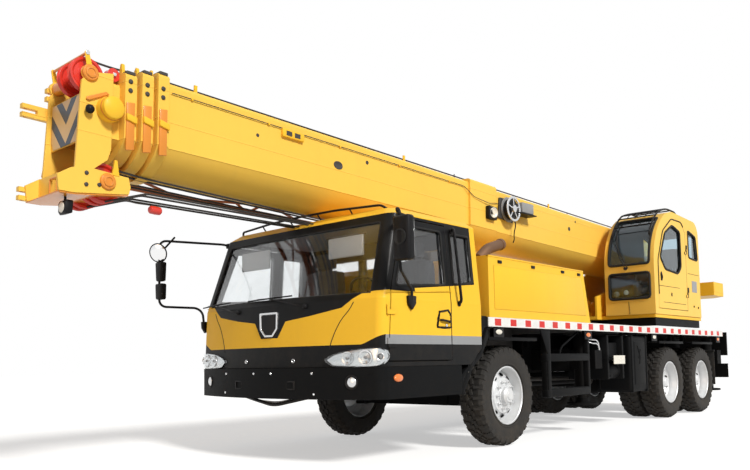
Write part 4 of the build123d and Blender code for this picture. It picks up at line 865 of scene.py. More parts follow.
def buildRim(dish, outward):
    # dish: how far the disc's middle stands out (front) or in (rear) from the rim's middle
    half = rim["half"]
    parts = []
    drop = [(0.3, half), (0.302, half + 0.012), (0.292, half + 0.016), (0.284, half + 0.008), (0.281, half * 0.8),
            (0.262, half * 0.55), (0.256, 0), (0.262, -half * 0.6), (0.281, -half * 0.85), (0.29, -half), (0.3, -half),
            (0.3, -half * 0.8), (0.272, -half * 0.5), (0.268, 0), (0.274, half * 0.5), (0.292, half * 0.85)]
    parts.append(addTurned("barrel", drop, (0, 0, 0), (0, 1, 0), 48))
    face = dish
    disc = [(0.0, face), (0.172, face), (0.184, face - 0.006), (0.196, face - 0.026 if dish > 0 else face + 0.02),
            (0.228, face - 0.046 if dish > 0 else face + 0.044), (0.262, 0.012), (0.262, -0.002),
            (0.226, face - 0.062 if dish > 0 else face + 0.03), (0.19, face - 0.04 if dish > 0 else face + 0.006),
            (0.176, face - 0.014), (0.0, face - 0.014)]
    parts.append(addTurned("disc", disc, (0, 0, 0), (0, 1, 0), 60))
    nutShape = addTurned("nut", [(0, 0), (rim["nut"] * 1.25, 0.0), (rim["nut"] * 1.25, 0.004), (rim["nut"], 0.006),
                                 (rim["nut"], 0.021), (rim["nut"] * 0.82, 0.025), (rim["nut"] * 0.5, 0.025),
                                 (rim["nut"] * 0.48, 0.042), (0, 0.044)], (rim["nutCircle"], face, 0), (0, 1, 0), 6)
    for number in range(rim["nuts"]):
        parts += copyTo(nutShape, Matrix.Rotation(math.tau * number / rim["nuts"], 4, "Y"))
    bpy.data.objects.remove(nutShape)
    hubOut = 0.072 if dish > 0 else 0.118
    hub = [(0, 0), (rim["hub"] + 0.012, 0.0), (rim["hub"] + 0.012, 0.012), (rim["hub"], 0.016),
           (rim["hub"], hubOut * 0.7), (rim["hub"] - 0.012, hubOut * 0.86), (rim["hub"] - 0.02, hubOut),
           (rim["hub"] * 0.55, hubOut), (rim["hub"] * 0.5, hubOut + 0.008), (0.0, hubOut + 0.01)]
    parts.append(addTurned("hub", hub, (0, face, 0), (0, 1, 0), 32))
    for part in parts:
        coat(part, rimSilver)
    # the hand holes are flat black discs on the wheel disc: painted shade standing in for open holes
    holeShade = addTurned("handHoleShade", [(0, 0), (0.019, 0), (0.023, 0.002), (0.023, 0.005), (0, 0.005)], (0, 0, 0),
                          (0, 1, 0), 12)
    slant = math.radians(-38 if dish > 0 else 42)
    lift = face - 0.03 if dish > 0 else face + 0.036
    holeShade.data.transform(Matrix.Translation((rim["holeCircle"] + 0.006, lift, 0)) @ Matrix.Rotation(slant, 4,
            "Z") @ Matrix.Scale(1.25, 4, (0, 0, 1)))
    coat(holeShade, frameBlackAndShade)
    for number in range(rim["holes"]):
        parts += copyTo(holeShade, Matrix.Rotation(math.tau * (number + 0.5) / rim["holes"], 4, "Y"))
    bpy.data.objects.remove(holeShade)
    whole = joinPieces("rimModel", parts)
    if not outward:
        whole.data.transform(Matrix.Scale(-1, 4, (0, 1, 0)))
        whole.data.flip_normals()
    return whole


tyreModel = buildTyre()
frontRim = buildRim(0.085, True)
rearRim = buildRim(-0.055, True)
for nodeName, (middle, sign, body) in wheelPlaces.items():
    isFront = "front" in nodeName
    offsets = (0.0,) if isFront else (0.165, -0.165)
    flip = Matrix.Identity(4) if sign > 0 else Matrix.Rotation(math.pi, 4, "Z")
    rubber, metal = [], []
    for offset in offsets:
        spin = Matrix.Rotation(0.21 * (offset > 0) + 0.1, 4, "Y")
        rubber += copyTo(tyreModel, Matrix.Translation(middle + Vector((0, offset, 0))) @ flip @ spin)
        outer = offset * sign >= 0
        faceTurn = flip if (outer or isFront) else flip @ Matrix.Rotation(math.pi, 4, "Z")
        metal += copyTo(frontRim if isFront else rearRim, Matrix.Translation(middle + Vector((0, offset,
                0))) @ faceTurn)
    tyrePiece = joinPieces(nodeName + "_look", rubber)
    finishPiece(coat(tyrePiece, tyreRubber), None, body, 28)
    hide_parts(nodeName)
    rimPiece = joinPieces(nodeName.replace("tyre", "rim") + "_look", metal)
    finishPiece(rimPiece, None, body, 30)
    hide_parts(nodeName.replace("tyres", "rims").replace("tyre", "rim"))
for model in (tyreModel, frontRim, rearRim):
    bpy.data.objects.remove(model)
print("wheels built")


# front cab
cab = {"sections": ((0.85, 1.25, 2.06, 2.232), (1.43, 1.25, 2.03, 2.205), (2.195, 1.185, 1.805, 1.822),
                    (2.262, 1.085, 1.725, 1.74)), "glass": ((-1.12, 1.475), (-1.06, 2.12), (1.06, 2.12), (1.12, 1.475)),
       "corner": 0.1,}
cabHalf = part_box("cab_shell")[1].y


def cabFront(y, z):
    rows = cab["sections"]
    for low, high in zip(rows[:-1], rows[1:]):
        if z <= high[0] or high is rows[-1]:
            share = (z - low[0]) / (high[0] - low[0])
            half, edgeX, middleX = (a + (b - a) * share for a, b in zip(low[1:], high[1:]))
            return middleX - (middleX - edgeX) * (y / half) ** 2


# a point on the cab's plan outline: travel runs from the middle round the corner and back along the side
def cabEdge(travel, z, out=0.0):
    side = 1 if travel >= 0 else -1
    travel = abs(travel)
    half, corner = 1.25, cab["corner"]
    turnStart = half - corner + corner * 0.25
    if travel <= turnStart:
        slope = 2 * 0.172 * travel / half ** 2
        normal = Vector((1, slope, 0)).normalized()
        spot = Vector((cabFront(travel, z), travel, z))
    else:
        start = math.asin(0.25)
        angle = min(start + (travel - turnStart) / corner, math.pi / 2)
        centre = Vector((cabFront(turnStart, z) - corner * math.cos(start), half - corner, z))
        normal = Vector((math.cos(angle), math.sin(angle), 0))
        spot = centre + normal * corner
        beyondCorner = travel - turnStart - corner * (math.pi / 2 - start)
        if beyondCorner > 0:
            spot.x -= beyondCorner
    spot += normal * out
    return at(spot.x, spot.y * side, spot.z)


# rubber seals round the fixed glass
seal = {"radius": 0.011, "steps": 5}


def frontGlassEdge(out):
    corners = cab["glass"]
    loop = []
    for number, (y0, z0) in enumerate(corners):
        y1, z1 = corners[(number + 1) % 4]
        for step in range(seal["steps"]):
            share = step / seal["steps"]
            y, z = y0 + (y1 - y0) * share, z0 + (z1 - z0) * share
            loop.append(at(cabFront(y, z) + out, y, z))
    return loop


finishPiece(addBar("windscreenSeal", frontGlassEdge(-0.01), seal["radius"], 0.03, 2, True), rubberBlackAndShade, angle=60)

frontWipers = {"pivots": ((-0.5, 1.392), (0.46, 1.392))}
for number, (y, z) in enumerate(frontWipers["pivots"]):
    tip = (y - 0.5, z + 0.105)
    parts = []
    hubSpot = at(cabFront(y, z) + 0.006, y, z)
    parts.append(addTurned("pivot", [(0, -0.01), (0.022, -0.01), (0.022, 0.012), (0.016, 0.022), (0, 0.024)], hubSpot,
                           (1, 0, 0.2), 16))
    armEnd = at(cabFront(*tip) + 0.03, *tip)
    parts.append(addBar("arm", [hubSpot + Vector((0.018, 0, 0)), hubSpot + Vector((0.03, -0.06, 0.012)),
                                armEnd + Vector((0.004, 0.05, -0.008)), armEnd], 0.006, 0.03, 2))
    blade = [at(cabFront(y - 0.5 + s, z + 0.105 + 0.03 * s) + 0.016, y - 0.5 + s, z + 0.105 + 0.02 * s)
             for s in (-0.31, -0.155, 0.0, 0.155, 0.31)]
    parts.append(addBar("blade", blade, 0.007, 0.05, 2))
    parts.append(addBar("spine", [blade[1] + Vector((0.012, 0, 0.004)), armEnd, blade[3] + Vector((0.012, 0, 0.004))],
                        0.005, 0.02, 2))
    finishPiece(joinPieces(f"wiper{number}", parts), plasticBlack)

# blank shield on the front: bright frame round a plain dark field
badge = {"outline": ((-0.128, 1.352), (-0.118, 1.362), (0.118, 1.362), (0.128, 1.352), (0.122, 1.205), (0.055, 1.135),
                     (-0.055, 1.135), (-0.122, 1.205))}
badgeX = cabFront(0, 1.25)
badgeFrame = addPlate("badgeFrame", badge["outline"], badgeX - 0.012, badgeX + 0.016, onFront, 0.003)
pickFaces(badgeFrame, lambda c, n: n.x > 0.9 and c.x > along(badgeX) + 0.012)
bpy.ops.mesh.inset(thickness=0.014, depth=0.0)
bpy.ops.mesh.inset(thickness=0.003, depth=-0.008)
endEdit()
finishPiece(badgeFrame, brightSteel, angle=30)
finishPiece(addPlate("badgeField", [(y * 0.82, 1.247 + (z - 1.247) * 0.82) for y, z in badge["outline"]], badgeX,
                     badgeX + 0.0105, onFront, 0.001), plasticBlack, angle=30)

# lower front: two small tell-tale rings
for side, label in bothSides:
    ringSpot = at(cabFront(0.33, 0.91) + 0.002, side * 0.33, 0.91)
    finishPiece(addTurned(f"bandRing{label}", [(0.01, 0), (0.02, 0), (0.02, 0.006), (0.016, 0.009), (0.012, 0.006)],
                          ringSpot, (1, 0.1 * side, 0), 18), brightSteel)

# curved seams of the front panel near both corners, as fine black beads
for side, label in bothSides:
    path = [(0.74, 1.005), (0.748, 1.06), (0.79, 1.16), (0.85, 1.26), (0.93, 1.34), (0.97, 1.405)]
    bead = [cabEdge(side * y, z, 0.0006) for y, z in path]
    finishPiece(addBar(f"frontSeam{label}", bead, 0.0042, 0.05, 1), rubberBlackAndShade, angle=60)

# headlamps: clear cover, bright bowl and two round reflectors, wrapped about the corner
lamp = {
    "top": ((0, 0.925), (0.14, 0.958), (0.35, 0.988), (0.6, 1.003), (0.85, 1.006), (0.96, 0.985), (1.0, 0.955)),
    "low": ((0, 0.905), (0.1, 0.862), (0.3, 0.852), (0.55, 0.85), (0.78, 0.853), (0.92, 0.875), (1.0, 0.925)),
    "from": 0.7, "to": 1.315,
}


def onLine(points, share):
    for (a, low), (b, high) in zip(points[:-1], points[1:]):
        if share <= b:
            return low + (high - low) * (share - a) / (b - a)
    return points[-1][1]


def lampSpot(side, out, grow=0.0):
    def spot(u, v):
        low, high = onLine(lamp["low"], u) - grow, onLine(lamp["top"], u) + grow
        bulge = math.sin(math.pi * v) * math.sin(math.pi * min(1, max(0, u))) ** 0.5
        lift = (out + 0.012 * max(0.0, bulge)) * (1 - 0.85 * max(0.0, u) ** 3)
        return cabEdge(side * (lamp["from"] + (lamp["to"] - lamp["from"]) * u), low + (high - low) * v,
                       max(0.001, lift))
    return spot


for side, label in bothSides:
    finishPiece(addSkin(f"lampBowl{label}", 26, 8, lampSpot(side, 0.001), 0.002), brightSteel, angle=60)
    rim1 = [lampSpot(side, 0.004, 0.003)(u, v) for u, v in [(0, 0.5)] + [(u / 8, 0.0)
            for u in range(1, 8)] + [(1, 0.5)] + [(u / 8, 1.0) for u in range(7, 0, -1)]]
    finishPiece(addBar(f"lampRim{label}", rim1, 0.0065, 0.02, 2, True), plasticBlack, angle=60)
    for number, (travel, z, size) in enumerate(((0.93, 0.925, 0.052), (1.1, 0.93, 0.06), (1.225, 0.935, 0.03))):
        eye = cabEdge(side * travel, z, 0.01)
        aim = (cabEdge(side * travel, z, 0.1) - cabEdge(side * travel, z, 0.0)).normalized()
        reflector = [(0, -0.006), (size * 0.25, -0.004), (size * 0.7, 0.004), (size, 0.014), (size + 0.005, 0.014),
                     (size + 0.005, -0.01), (0, -0.012)]
        finishPiece(addTurned(f"reflector{label}{number}", reflector, eye, aim, 28), brightSteel, angle=50)
        bulb = [(0, 0), (0.013, 0), (0.013, 0.016), (0.009, 0.023), (0, 0.025)]
        finishPiece(addTurned(f"bulb{label}{number}", bulb, eye, aim, 16), greyPaint, angle=50)
    finishPiece(addSkin(f"lampCover{label}", 26, 8, lampSpot(side, 0.02), 0.003), clearGlass, angle=60)

# bumper: tow recesses, fog lamps and the lip along its foot
bumper = {"middle": 2.308, "edge": 2.066, "half": 1.25}


def bumperFront(y):
    return bumper["middle"] - (bumper["middle"] - bumper["edge"]) * (y / bumper["half"]) ** 2


for side, label in bothSides:
    y = side * 0.36
    pocket = addPlate(f"towPocket{label}", oblong(y - 0.055, y + 0.055, 0.655, 0.735), bumperFront(0.36) - 0.03,
                      bumperFront(0.36) + 0.003, onFront, 0.004, 2)
    pickFaces(pocket, lambda c, n: n.x > 0.9 and c.x > along(bumperFront(0.36)))
    bpy.ops.mesh.inset(thickness=0.012, depth=0.0)
    bpy.ops.mesh.extrude_region_move(TRANSFORM_OT_translate={"value": (-0.022, 0, 0)})
    endEdit()
    finishPiece(pocket, plasticBlack, angle=30)
    fogY = side * 0.985
    fogSpot = at(bumperFront(0.985) - 0.004, fogY, 0.722)
    aim = Vector((1, 0.3 * side, 0)).normalized()
    fogBody = [(0, -0.01), (0.062, -0.01), (0.062, 0.01), (0.056, 0.014), (0.05, 0.01), (0.046, 0.004), (0, 0)]
    finishPiece(addTurned(f"fogBody{label}", fogBody, fogSpot, aim, 32), plasticBlack, angle=45)
    fogGlass = [(0, 0.002), (0.046, 0.005), (0.044, 0.01), (0.03, 0.0165), (0, 0.019)]
    finishPiece(addTurned(f"fogLens{label}", fogGlass, fogSpot, aim, 32), brightSteel, angle=60)
    for number, (y, z) in enumerate(((0.12, 0.8), (0.6, 0.8), (0.62, 0.62))):
        finishPiece(addTurned(f"bumperBolt{label}{number}", button(0.012, 0.004, 0.008, 0.008),
                              at(bumperFront(y) - 0.001, side * y, z), (1, 0, 0), 8), brightSteel)
crease = [at(bumperFront(y) + 0.0005, y, 0.79) for y in (-1.16, -0.8, -0.4, 0.0, 0.4, 0.8, 1.16)]
finishPiece(addBar("bumperCrease", crease, 0.004, 0.2, 1), blackPaint, angle=60)
lip = [at(bumperFront(y) - 0.012, y, 0.583) for y in (-1.15, -0.8, -0.4, 0.0, 0.4, 0.8, 1.15)]
finishPiece(addBar("bumperLip", lip, 0.01, 0.2, 2), blackPaint, angle=60)
towBar = [at(2.1, -0.52, 0.585), at(2.19, -0.3, 0.566), at(2.22, 0.06, 0.508), at(2.16, 0.46, 0.585)]
finishPiece(addBar("underGuard", towBar, 0.016, 0.08, 3), plasticBlack, angle=50)
paleLine = [at(2.12, -0.4, 0.585), at(2.2, -0.16, 0.548), at(2.21, 0.1, 0.536), at(2.14, 0.36, 0.585)]
finishPiece(addBar("towLine", paleLine, 0.008, 0.08, 3), greyPaint, angle=50)

# sides: amber lamps, handles, grab bars, window rubber, roof rail
amber = makeFinish("amberLens", (0.85, 0.2, 0.02), roughness=0.2, coat=0.6, fade=0.05, dirt=0.15, edge=0.1, bump=0.02)
lampWhite = makeFinish("lampWhite", (0.75, 0.72, 0.62), roughness=0.25, coat=0.6, fade=0.05, dirt=0.3, edge=0.1,
                       bump=0.02)
for side, label in bothSides:
    spot = at(1.86, side * 1.249, 0.752)
    lens = addTurned(f"sideLamp{label}", [(0, -0.004), (0.034, -0.004), (0.034, 0.006), (0.028, 0.014), (0, 0.019)],
                     (0, 0, 0), (0, side, 0), 24)
    lens.data.transform(Matrix.Translation(spot) @ Matrix.Scale(1.75, 4, (1, 0, 0)))
    finishPiece(lens, amber, angle=50)
    door = f"door_{'left' if side > 0 else 'right'}"
    y = side * (cabHalf + 0.001)
    recess = addPlate(f"handleRecess{label}", [(1.075, 1.19), (1.305, 1.19), (1.265, 1.345), (1.12, 1.365),
            (1.075, 1.32)], side * 1.242, side * 1.2545, onSide, 0.003, 2)
    pickFaces(recess, lambda c, n: n.y * side > 0.9 and c.y * side > 1.25)
    bpy.ops.mesh.inset(thickness=0.014, depth=0.0)
    bpy.ops.mesh.inset(thickness=0.01, depth=-0.01)
    endEdit()
    finishPiece(recess, plasticBlack, door, 30)
    grip = [at(1.11, side * 1.252, 1.245), at(1.12, side * 1.272, 1.25), at(1.24, side * 1.272, 1.262),
            at(1.25, side * 1.252, 1.262)]
    finishPiece(addBar(f"handleGrip{label}", grip, 0.01, 0.014, 3), plasticBlack, door, 50)
    finishPiece(addTurned(f"doorLock{label}", button(0.014, 0.006, 0.008, 0.008), at(1.16, side * 1.253, 1.215),
                          (0, side, 0), 16), brightSteel, door)
    frameLine = [(1.15, 1.59), (1.15, 2.09), (1.66, 2.09), (1.86, 1.545)]
    finishPiece(addBar(f"doorGlassSeal{label}", [at(a, side * (1.2515 - max(0, b - 1.43) * 0.085), b) for a,
            b in frameLine], 0.011, 0.035, 2, True), rubberBlackAndShade, door, 60)
    quarterLine = [(0.7, 1.64), (0.7, 2.09), (1.01, 2.09), (1.01, 1.6)]
    finishPiece(addBar(f"quarterGlassSeal{label}", [at(a, side * (1.2515 - max(0, b - 1.43) * 0.085), b) for a,
            b in quarterLine], 0.012, 0.03, 2, True), rubberBlackAndShade, angle=60)
    grab = [at(0.985, side * 1.205, 2.115), at(1.03, side * 1.262, 2.13), at(1.035, side * 1.275, 2.09),
            at(0.985, side * 1.3, 1.52), at(0.975, side * 1.3, 1.44), at(0.945, side * 1.248, 1.425)]
    finishPiece(addBar(f"grabBar{label}", grab, 0.014, 0.035, 3), plasticBlack, angle=50)
    for number, (gx, gy, gz) in enumerate(((0.985, 1.205, 2.115), (0.945, 1.25, 1.425))):
        finishPiece(addTurned(f"grabFoot{label}{number}", button(0.026, 0.006, 0.018, 0.012, -0.004),
                              at(gx, side * gy, gz), (0, side, 0), 16), plasticBlack)
    crease = [at(a, side * 1.2502, b) for a, b in ((2.0, 1.475), (1.5, 1.505), (1.06, 1.535))]
    finishPiece(addBar(f"doorCrease{label}", crease, 0.0035, 0.2, 1), cabPaint, door, 60)

roofRail = {"points": ((1.7, -1.02, 2.262), (1.735, -0.98, 2.295), (1.775, -0.45, 2.318), (1.785, 0.0, 2.322),
                       (1.775, 0.45, 2.318), (1.735, 0.98, 2.295), (1.7, 1.02, 2.262)), "radius": 0.011}
rail = addBar("roofRail", laid(roofRail["points"]), roofRail["radius"], 0.06, 3)
stays = [rail]
for y in (-0.62, -0.2, 0.2, 0.62):
    stays.append(addBar("stay", [at(1.772, y, 2.317), at(1.72, y, 2.255)], 0.007, 0.01, 2))
finishPiece(joinPieces("roofRail", stays), plasticBlack, angle=50)
print("front cab dressed")


# boom head
orangePaint = makeFinish("orangePaint", (0.72, 0.245, 0.014), roughness=0.42, coat=0.4, fade=0.08, dirt=0.25,
                         dirtTop=2.0, edge=0.3, edgeColor=(0.34, 0.2, 0.06), bump=0.05)
ropeSteel = makeFinish("ropeSteel", (0.03, 0.028, 0.027), roughness=0.5, metallic=0.3, fade=0.2, dirt=0.3, grain=700.0,
                       bump=0.4)
chevron = {"pitch": 0.245, "slope": 1.15, "share": 0.42, "pale": (0.66, 0.43, 0.2), "dark": (0.022, 0.036, 0.062)}


def chevronZones(tree, spot, color):
    x, y, height = splitSpot(tree, spot)
    slant = times(tree, addMath(tree, "ABSOLUTE", y), -chevron["slope"])
    travel = parted(tree, plus(tree, height, slant), chevron["pitch"])
    dark = below(tree, addMath(tree, "FRACT", travel), chevron["share"])
    return addMix(tree, dark, color, chevron["dark"])


chevronPaint = makeFinish("chevronPaint", chevron["pale"], zones=chevronZones, roughness=0.4, fade=0.06, dirt=0.2,
                          dirtTop=2.0, edge=0.2)
head = {
    "top": (10.235, 0.4), "low": (10.075, -0.38), "half": 0.264, "keeper": (10.262, 0.545),
    "topSheaves": (0.03, 0.2), "lowSheaves": (-0.18, -0.09, 0.09, 0.18), "topRadius": 0.13, "lowRadius": 0.15,
    "sheaveHalf": 0.022, "axle": 0.035, "casing": (10.088, 0.157), "body": "boom_section_4",
}
across = Vector((0, 1, 0))


def addSheave(s, h, y, radius):
    half, bore = head["sheaveHalf"], head["axle"] + 0.002
    side = [(bore, half), (0.058, half), (0.064, half * 0.5), (radius - 0.032, half * 0.42), (radius - 0.018, half),
            (radius, half), (radius - 0.005, half * 0.66), (radius - 0.017, half * 0.3)]
    profile = [(r, -w) for r, w in side] + [(r, w) for r, w in reversed(side)]
    return addTurned("sheave", profile, onBoom(s, h, y), across, 48)


sheaves = [addSheave(*head["top"], y, head["topRadius"]) for y in head["topSheaves"]]
sheaves += [addSheave(*head["low"], y, head["lowRadius"]) for y in head["lowSheaves"]]
sheaves += [addTurned("roller", [(0, -0.03), (0.052, -0.03), (0.046, -0.012), (0.046, 0.012), (0.052, 0.03), (0, 0.03)],
                      onBoom(10.03, 0.455, y), across, 24) for y in (-0.14, 0.03, 0.2)]
headSheaves = joinPieces("headSheaves", sheaves)
finishPiece(headSheaves, redPaint, head["body"], 34)
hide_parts("head_sheaves")
spacers = []
for (s, h), y0, y1 in ((head["top"], -0.24, 0.0), (head["top"], 0.06, 0.17), (head["low"], -0.06, 0.06)):
    spacers.append(addTurned("spacer", oblong(0.038, 0.05, 0.0, y1 - y0), onBoom(s, h, y0), across, 24))
finishPiece(joinPieces("axleSpacers", spacers), orangePaint, head["body"])
finishPiece(addBar("rollerPin", [onBoom(10.03, 0.455, -0.25), onBoom(10.03, 0.455, 0.25)], 0.014, 0.01, 2), brightSteel,
            head["body"])

# rows of small pieces: name, finish, how smooth, the maker and what it is given
def dress(body, *rows):
    for name, material, angle, make, *given in rows:
        finishPiece(make(name, *given), material, body, angle)


def onHeadSide(s, h):
    return onBoom(s, h, head["half"])


# bosses, keeper bar and its arms
cap = [(0, -0.002), (0.062, -0.002), (0.062, 0.012), (0.055, 0.02), (0.043, 0.02), (0.04, 0.028), (0.028, 0.03),
       (0.026, 0.024), (0, 0.024)]
(topS, topH), (keeperS, keeperH) = head["top"], head["keeper"]
for side, label in bothSides:
    for number, (s, h) in enumerate((head["top"], head["low"])):
        boss = addTurned(f"headBoss{label}{number}", cap, onBoom(s, h, side * head["half"]), across * side)
        finishPiece(boss, orangePaint, head["body"])
    armY = side * (head["half"] - 0.004)
    arm = [(topS - 0.022, topH + 0.03), (topS + 0.026, topH + 0.03), (keeperS + 0.02, keeperH + 0.004),
           (keeperS + 0.008, keeperH + 0.018), (keeperS - 0.012, keeperH + 0.01)]
    dress(head["body"], (f"keeperArm{label}", yellowPaint, 30, addPlate, arm, armY, armY + side * 0.01, onBoom, 0.002))

# keeper, the warning plate with the sloping bar beside it, the lower box, the round casing with its lever and knob,
# and the lamp below the box
warning = [(-0.228, 0.248), (-0.236, -0.03), (-0.2, -0.098), (0.216, -0.098), (0.236, -0.06), (0.236, 0.248)]
holeRim = [onBoom(10.358, -0.415 + h, y) for y, h in oblong(-0.055, 0.055, -0.055, 0.055)]
grid = [addBar("gridBar", [onBoom(10.34, -0.49, y), onBoom(10.34, -0.335, y)], 0.004, 0.01, 1)
        for y in (0.1, 0.125, 0.15, 0.175, 0.2)]
grid += [addBar("gridBar", [onBoom(10.34, h, 0.085), onBoom(10.34, h, 0.215)], 0.004, 0.01, 1)
         for h in (-0.36, -0.39, -0.42, -0.45)]
foot = [(9.905, -0.452), (10.33, -0.511), (10.44, -0.511), (10.44, -0.519), (10.328, -0.519), (9.903, -0.46)]
lug = [(9.982, -0.325), (10.001, -0.205), (10.022, -0.205), (10.04, -0.325)]
dome = [(0, -0.004), (0.094, -0.004), (0.096, 0.03), (0.086, 0.05), (0.083, 0.094), (0.07, 0.104), (0, 0.108)]
lever = [(10.085, 0.275), (10.11, 0.29), (10.262, 0.214), (10.262, 0.194), (10.242, 0.19)]
knob = [(0, -0.002), (0.016, -0.002), (0.014, 0.012), (0.028, 0.022), (0.034, 0.038), (0.028, 0.054), (0.012, 0.064),
        (0, 0.066)]
lampSide = [(10.3, -0.548), (10.352, -0.548), (10.362, -0.57), (10.362, -0.63), (10.348, -0.652), (10.304, -0.64)]
lampFace = [(0, 0), (0.04, 0), (0.04, 0.003), (0.03, 0.006), (0, 0.007)]
weightLine = [onBoom(s, h, 0.1) for s, h in ((9.905, -0.44), (9.76, -0.462), (9.62, -0.455), (9.575, -0.462))]
weight = [(0, -0.052), (0.022, -0.052), (0.032, -0.042), (0.034, 0), (0.032, 0.042), (0.022, 0.052), (0, 0.052)]
casing = onHeadSide(*head["casing"])
half = head["half"]
dress(
    head["body"],
    ("ropeKeeper", orangePaint, 40, addBar, [onBoom(*head["keeper"], y) for y in (-0.262, 0.266)], 0.011, 0.01),
    ("keeperNut", brightSteel, 30, addTurned, [(0, 0), (0.018, 0), (0.018, 0.012), (0, 0.014)],
     onBoom(*head["keeper"], 0.262), across, 6),
    ("warningPlate", chevronPaint, 30, addPlate, warning, 10.2725, 10.2775, onBoomEnd, 0.001),
    ("slopingBar", orangePaint, 30, addPlate, [(10.208, 0.2), (10.248, 0.2), (10.326, -0.3), (10.286, -0.3)],
     -0.268, -0.282, onBoom, 0.003),
    ("boxHoleRim", orangePaint, 50, addBar, holeRim, 0.006, 0.008, 2, True),
    ("boxGrid", lampWhite, 50, joinPieces, grid),
    ("boxFoot", orangePaint, 30, addPlate, foot, -0.264, 0.264, onBoom),
    ("headLug", yellowPaint, 30, addPlate, lug, half - 0.018, half + 0.004, onBoom, 0.002),
    *((f"boxBolt{number}", castIronAndShade, 30, addTurned, button(0.016, 0.006, 0.01, 0.01), onHeadSide(s, h), across, 8)
      for number, (s, h) in enumerate(((10.24, -0.345), (10.24, -0.43), (10.1, -0.345), (10.14, -0.415)), 187)),
    ("lengthCasing", yellowPaint, 40, addTurned, dome, casing, across, 40),
    ("casingBand", orangePaint, 40, addTurned, oblong(0.086, 0.0885, 0.052, 0.064), casing, across, 40),
    ("casingLever", orangePaint, 30, addPlate, lever, half, half + 0.016, onBoom, 0.003),
    ("headKnob", plasticBlack, 50, addTurned, knob, onHeadSide(10.247, 0.118), across, 24),
    ("headLampArm", plasticBlack, 40, addBar, [onBoom(10.337, h, 0.15) for h in (-0.51, -0.556)], 0.01, 0.01, 2),
    ("headLamp", plasticBlack, 30, addPlate, lampSide, 0.095, 0.205, onBoom, 0.006, 2),
    ("headLampGlass", lampWhite, 50, addTurned, lampFace, onBoom(10.3615, -0.6, 0.15), boomAlong, 24),
    ("weightLine", ropeSteel, 50, addBar, weightLine, 0.004, 0.04, 1),
    ("lineWeight", redPaint, 40, addTurned, weight, onBoom(9.573, -0.49, 0.1), (1, 0, 0.02), 24))
for number, (low, root, slotEnd) in enumerate(((0.305, 10.179, 10.238), (0.14, 10.197, 10.374),
        (-0.5, 10.333, 10.403))):
    rib = [(root + 0.01, low + 0.004), (slotEnd - 0.01, low + 0.02), (slotEnd - 0.01, low + 0.08),
           (root + 0.01, low + 0.096)]
    dress(head["body"], (f"forkRib{number}", orangePaint, 30, addPlate, rib, -half - 0.044, -half - 0.052, onBoom,
                         0.002))
print("boom head dressed")

# collars: tall fins, bolts and guide boxes
collars = (("boom_base", 9.64, 0.378, 0.528), ("boom_section_2", 9.763, 0.354, 0.504),
           ("boom_section_3", 9.886, 0.322, 0.472))
for number, (body, s0, half, top) in enumerate(collars):
    for side, label in bothSides:
        label += str(number)
        finishPiece(addPlate(f"collarFin{label}", [(side * 0.262, top - 0.004), (side * 0.205, top - 0.004),
                (side * 0.226, 0.556), (side * 0.238, 0.575 - number * 0.008), (side * 0.25, 0.556)], s0 + 0.066,
                             s0 + 0.092, onBoomEnd, 0.003), yellowPaint, body, 30)
        y = side * (half - 0.002)
        for index, h in enumerate((0.405, 0.335)):
            finishPiece(addTurned(f"collarBolt{label}{index}", button(0.019, 0.008, 0.012, 0.014),
                                  onBoom(s0 + 0.056, h, y), across * side, 8), castIronAndShade, body, 30)
        finishPiece(addPlate(f"collarGuide{label}", [(s0 + 0.02, 0.245), (s0 + 0.088, 0.235), (s0 + 0.088, -0.13),
                (s0 + 0.02, -0.12)], y, y + side * 0.014, onBoom, 0.004, 2), orangePaint, body, 30)
        finishPiece(addPlate(f"collarStep{label}", [(s0 + 0.006, 0.13), (s0 + 0.092, 0.15), (s0 + 0.092, 0.1),
                (s0 + 0.006, 0.08)], y, y + side * 0.03, onBoom, 0.005, 2), yellowPaint, body, 30)
        finishPiece(addPlate(f"collarPad{label}", oblong(s0 + 0.012, s0 + 0.086, top - 0.01, top + 0.016),
                             side * (half - 0.1), side * (half - 0.004), onBoom, 0.004, 1), castIronAndShade, body, 30)
print("collars dressed")


# ropes along the boom, in three lengths cut at two stations
hookLow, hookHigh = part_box("hook_block")
rope = {
    "radius": 0.0085, "topLine": 0.545, "falls": (-0.202, -0.158, -0.112, -0.068, 0.068, 0.112, 0.158, 0.202),
    "cuts": (9.6, 9.75), "bodies": ("boom_base", "boom_section_2", "boom_section_3", "boom_section_4"),
}


# points run (station, height, y) from the boom's foot toward its head
def strandRopes(name, strands):
    for number in range(3):
        low = rope["cuts"][number - 1] if number else -9.0
        high = rope["cuts"][number] if number < 2 else 99.0
        parts, firsts, lasts = [], [], []
        for strand in strands:
            points = []
            for (s0, h0, y0), (s1, h1, y1) in zip(strand, strand[1:]):
                for cut in (low, high):
                    if s0 < cut < s1:
                        share = (cut - s0) / (s1 - s0)
                        points.append((cut, h0 + (h1 - h0) * share, y0 + (y1 - y0) * share))
            points += [spot for spot in strand if low < spot[0] < high]
            points.sort()
            firsts.append(points[0][0])
            lasts.append(points[-1][0])
            parts.append(addBar("strand", [onBoom(*spot) for spot in points], rope["radius"], 0.1, 2))
        piece = joinPieces(f"{name}{number}", parts)
        coat(piece, ropeSteel)
        bpy.ops.object.shade_smooth_by_angle(angle=math.radians(60))
        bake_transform(piece)


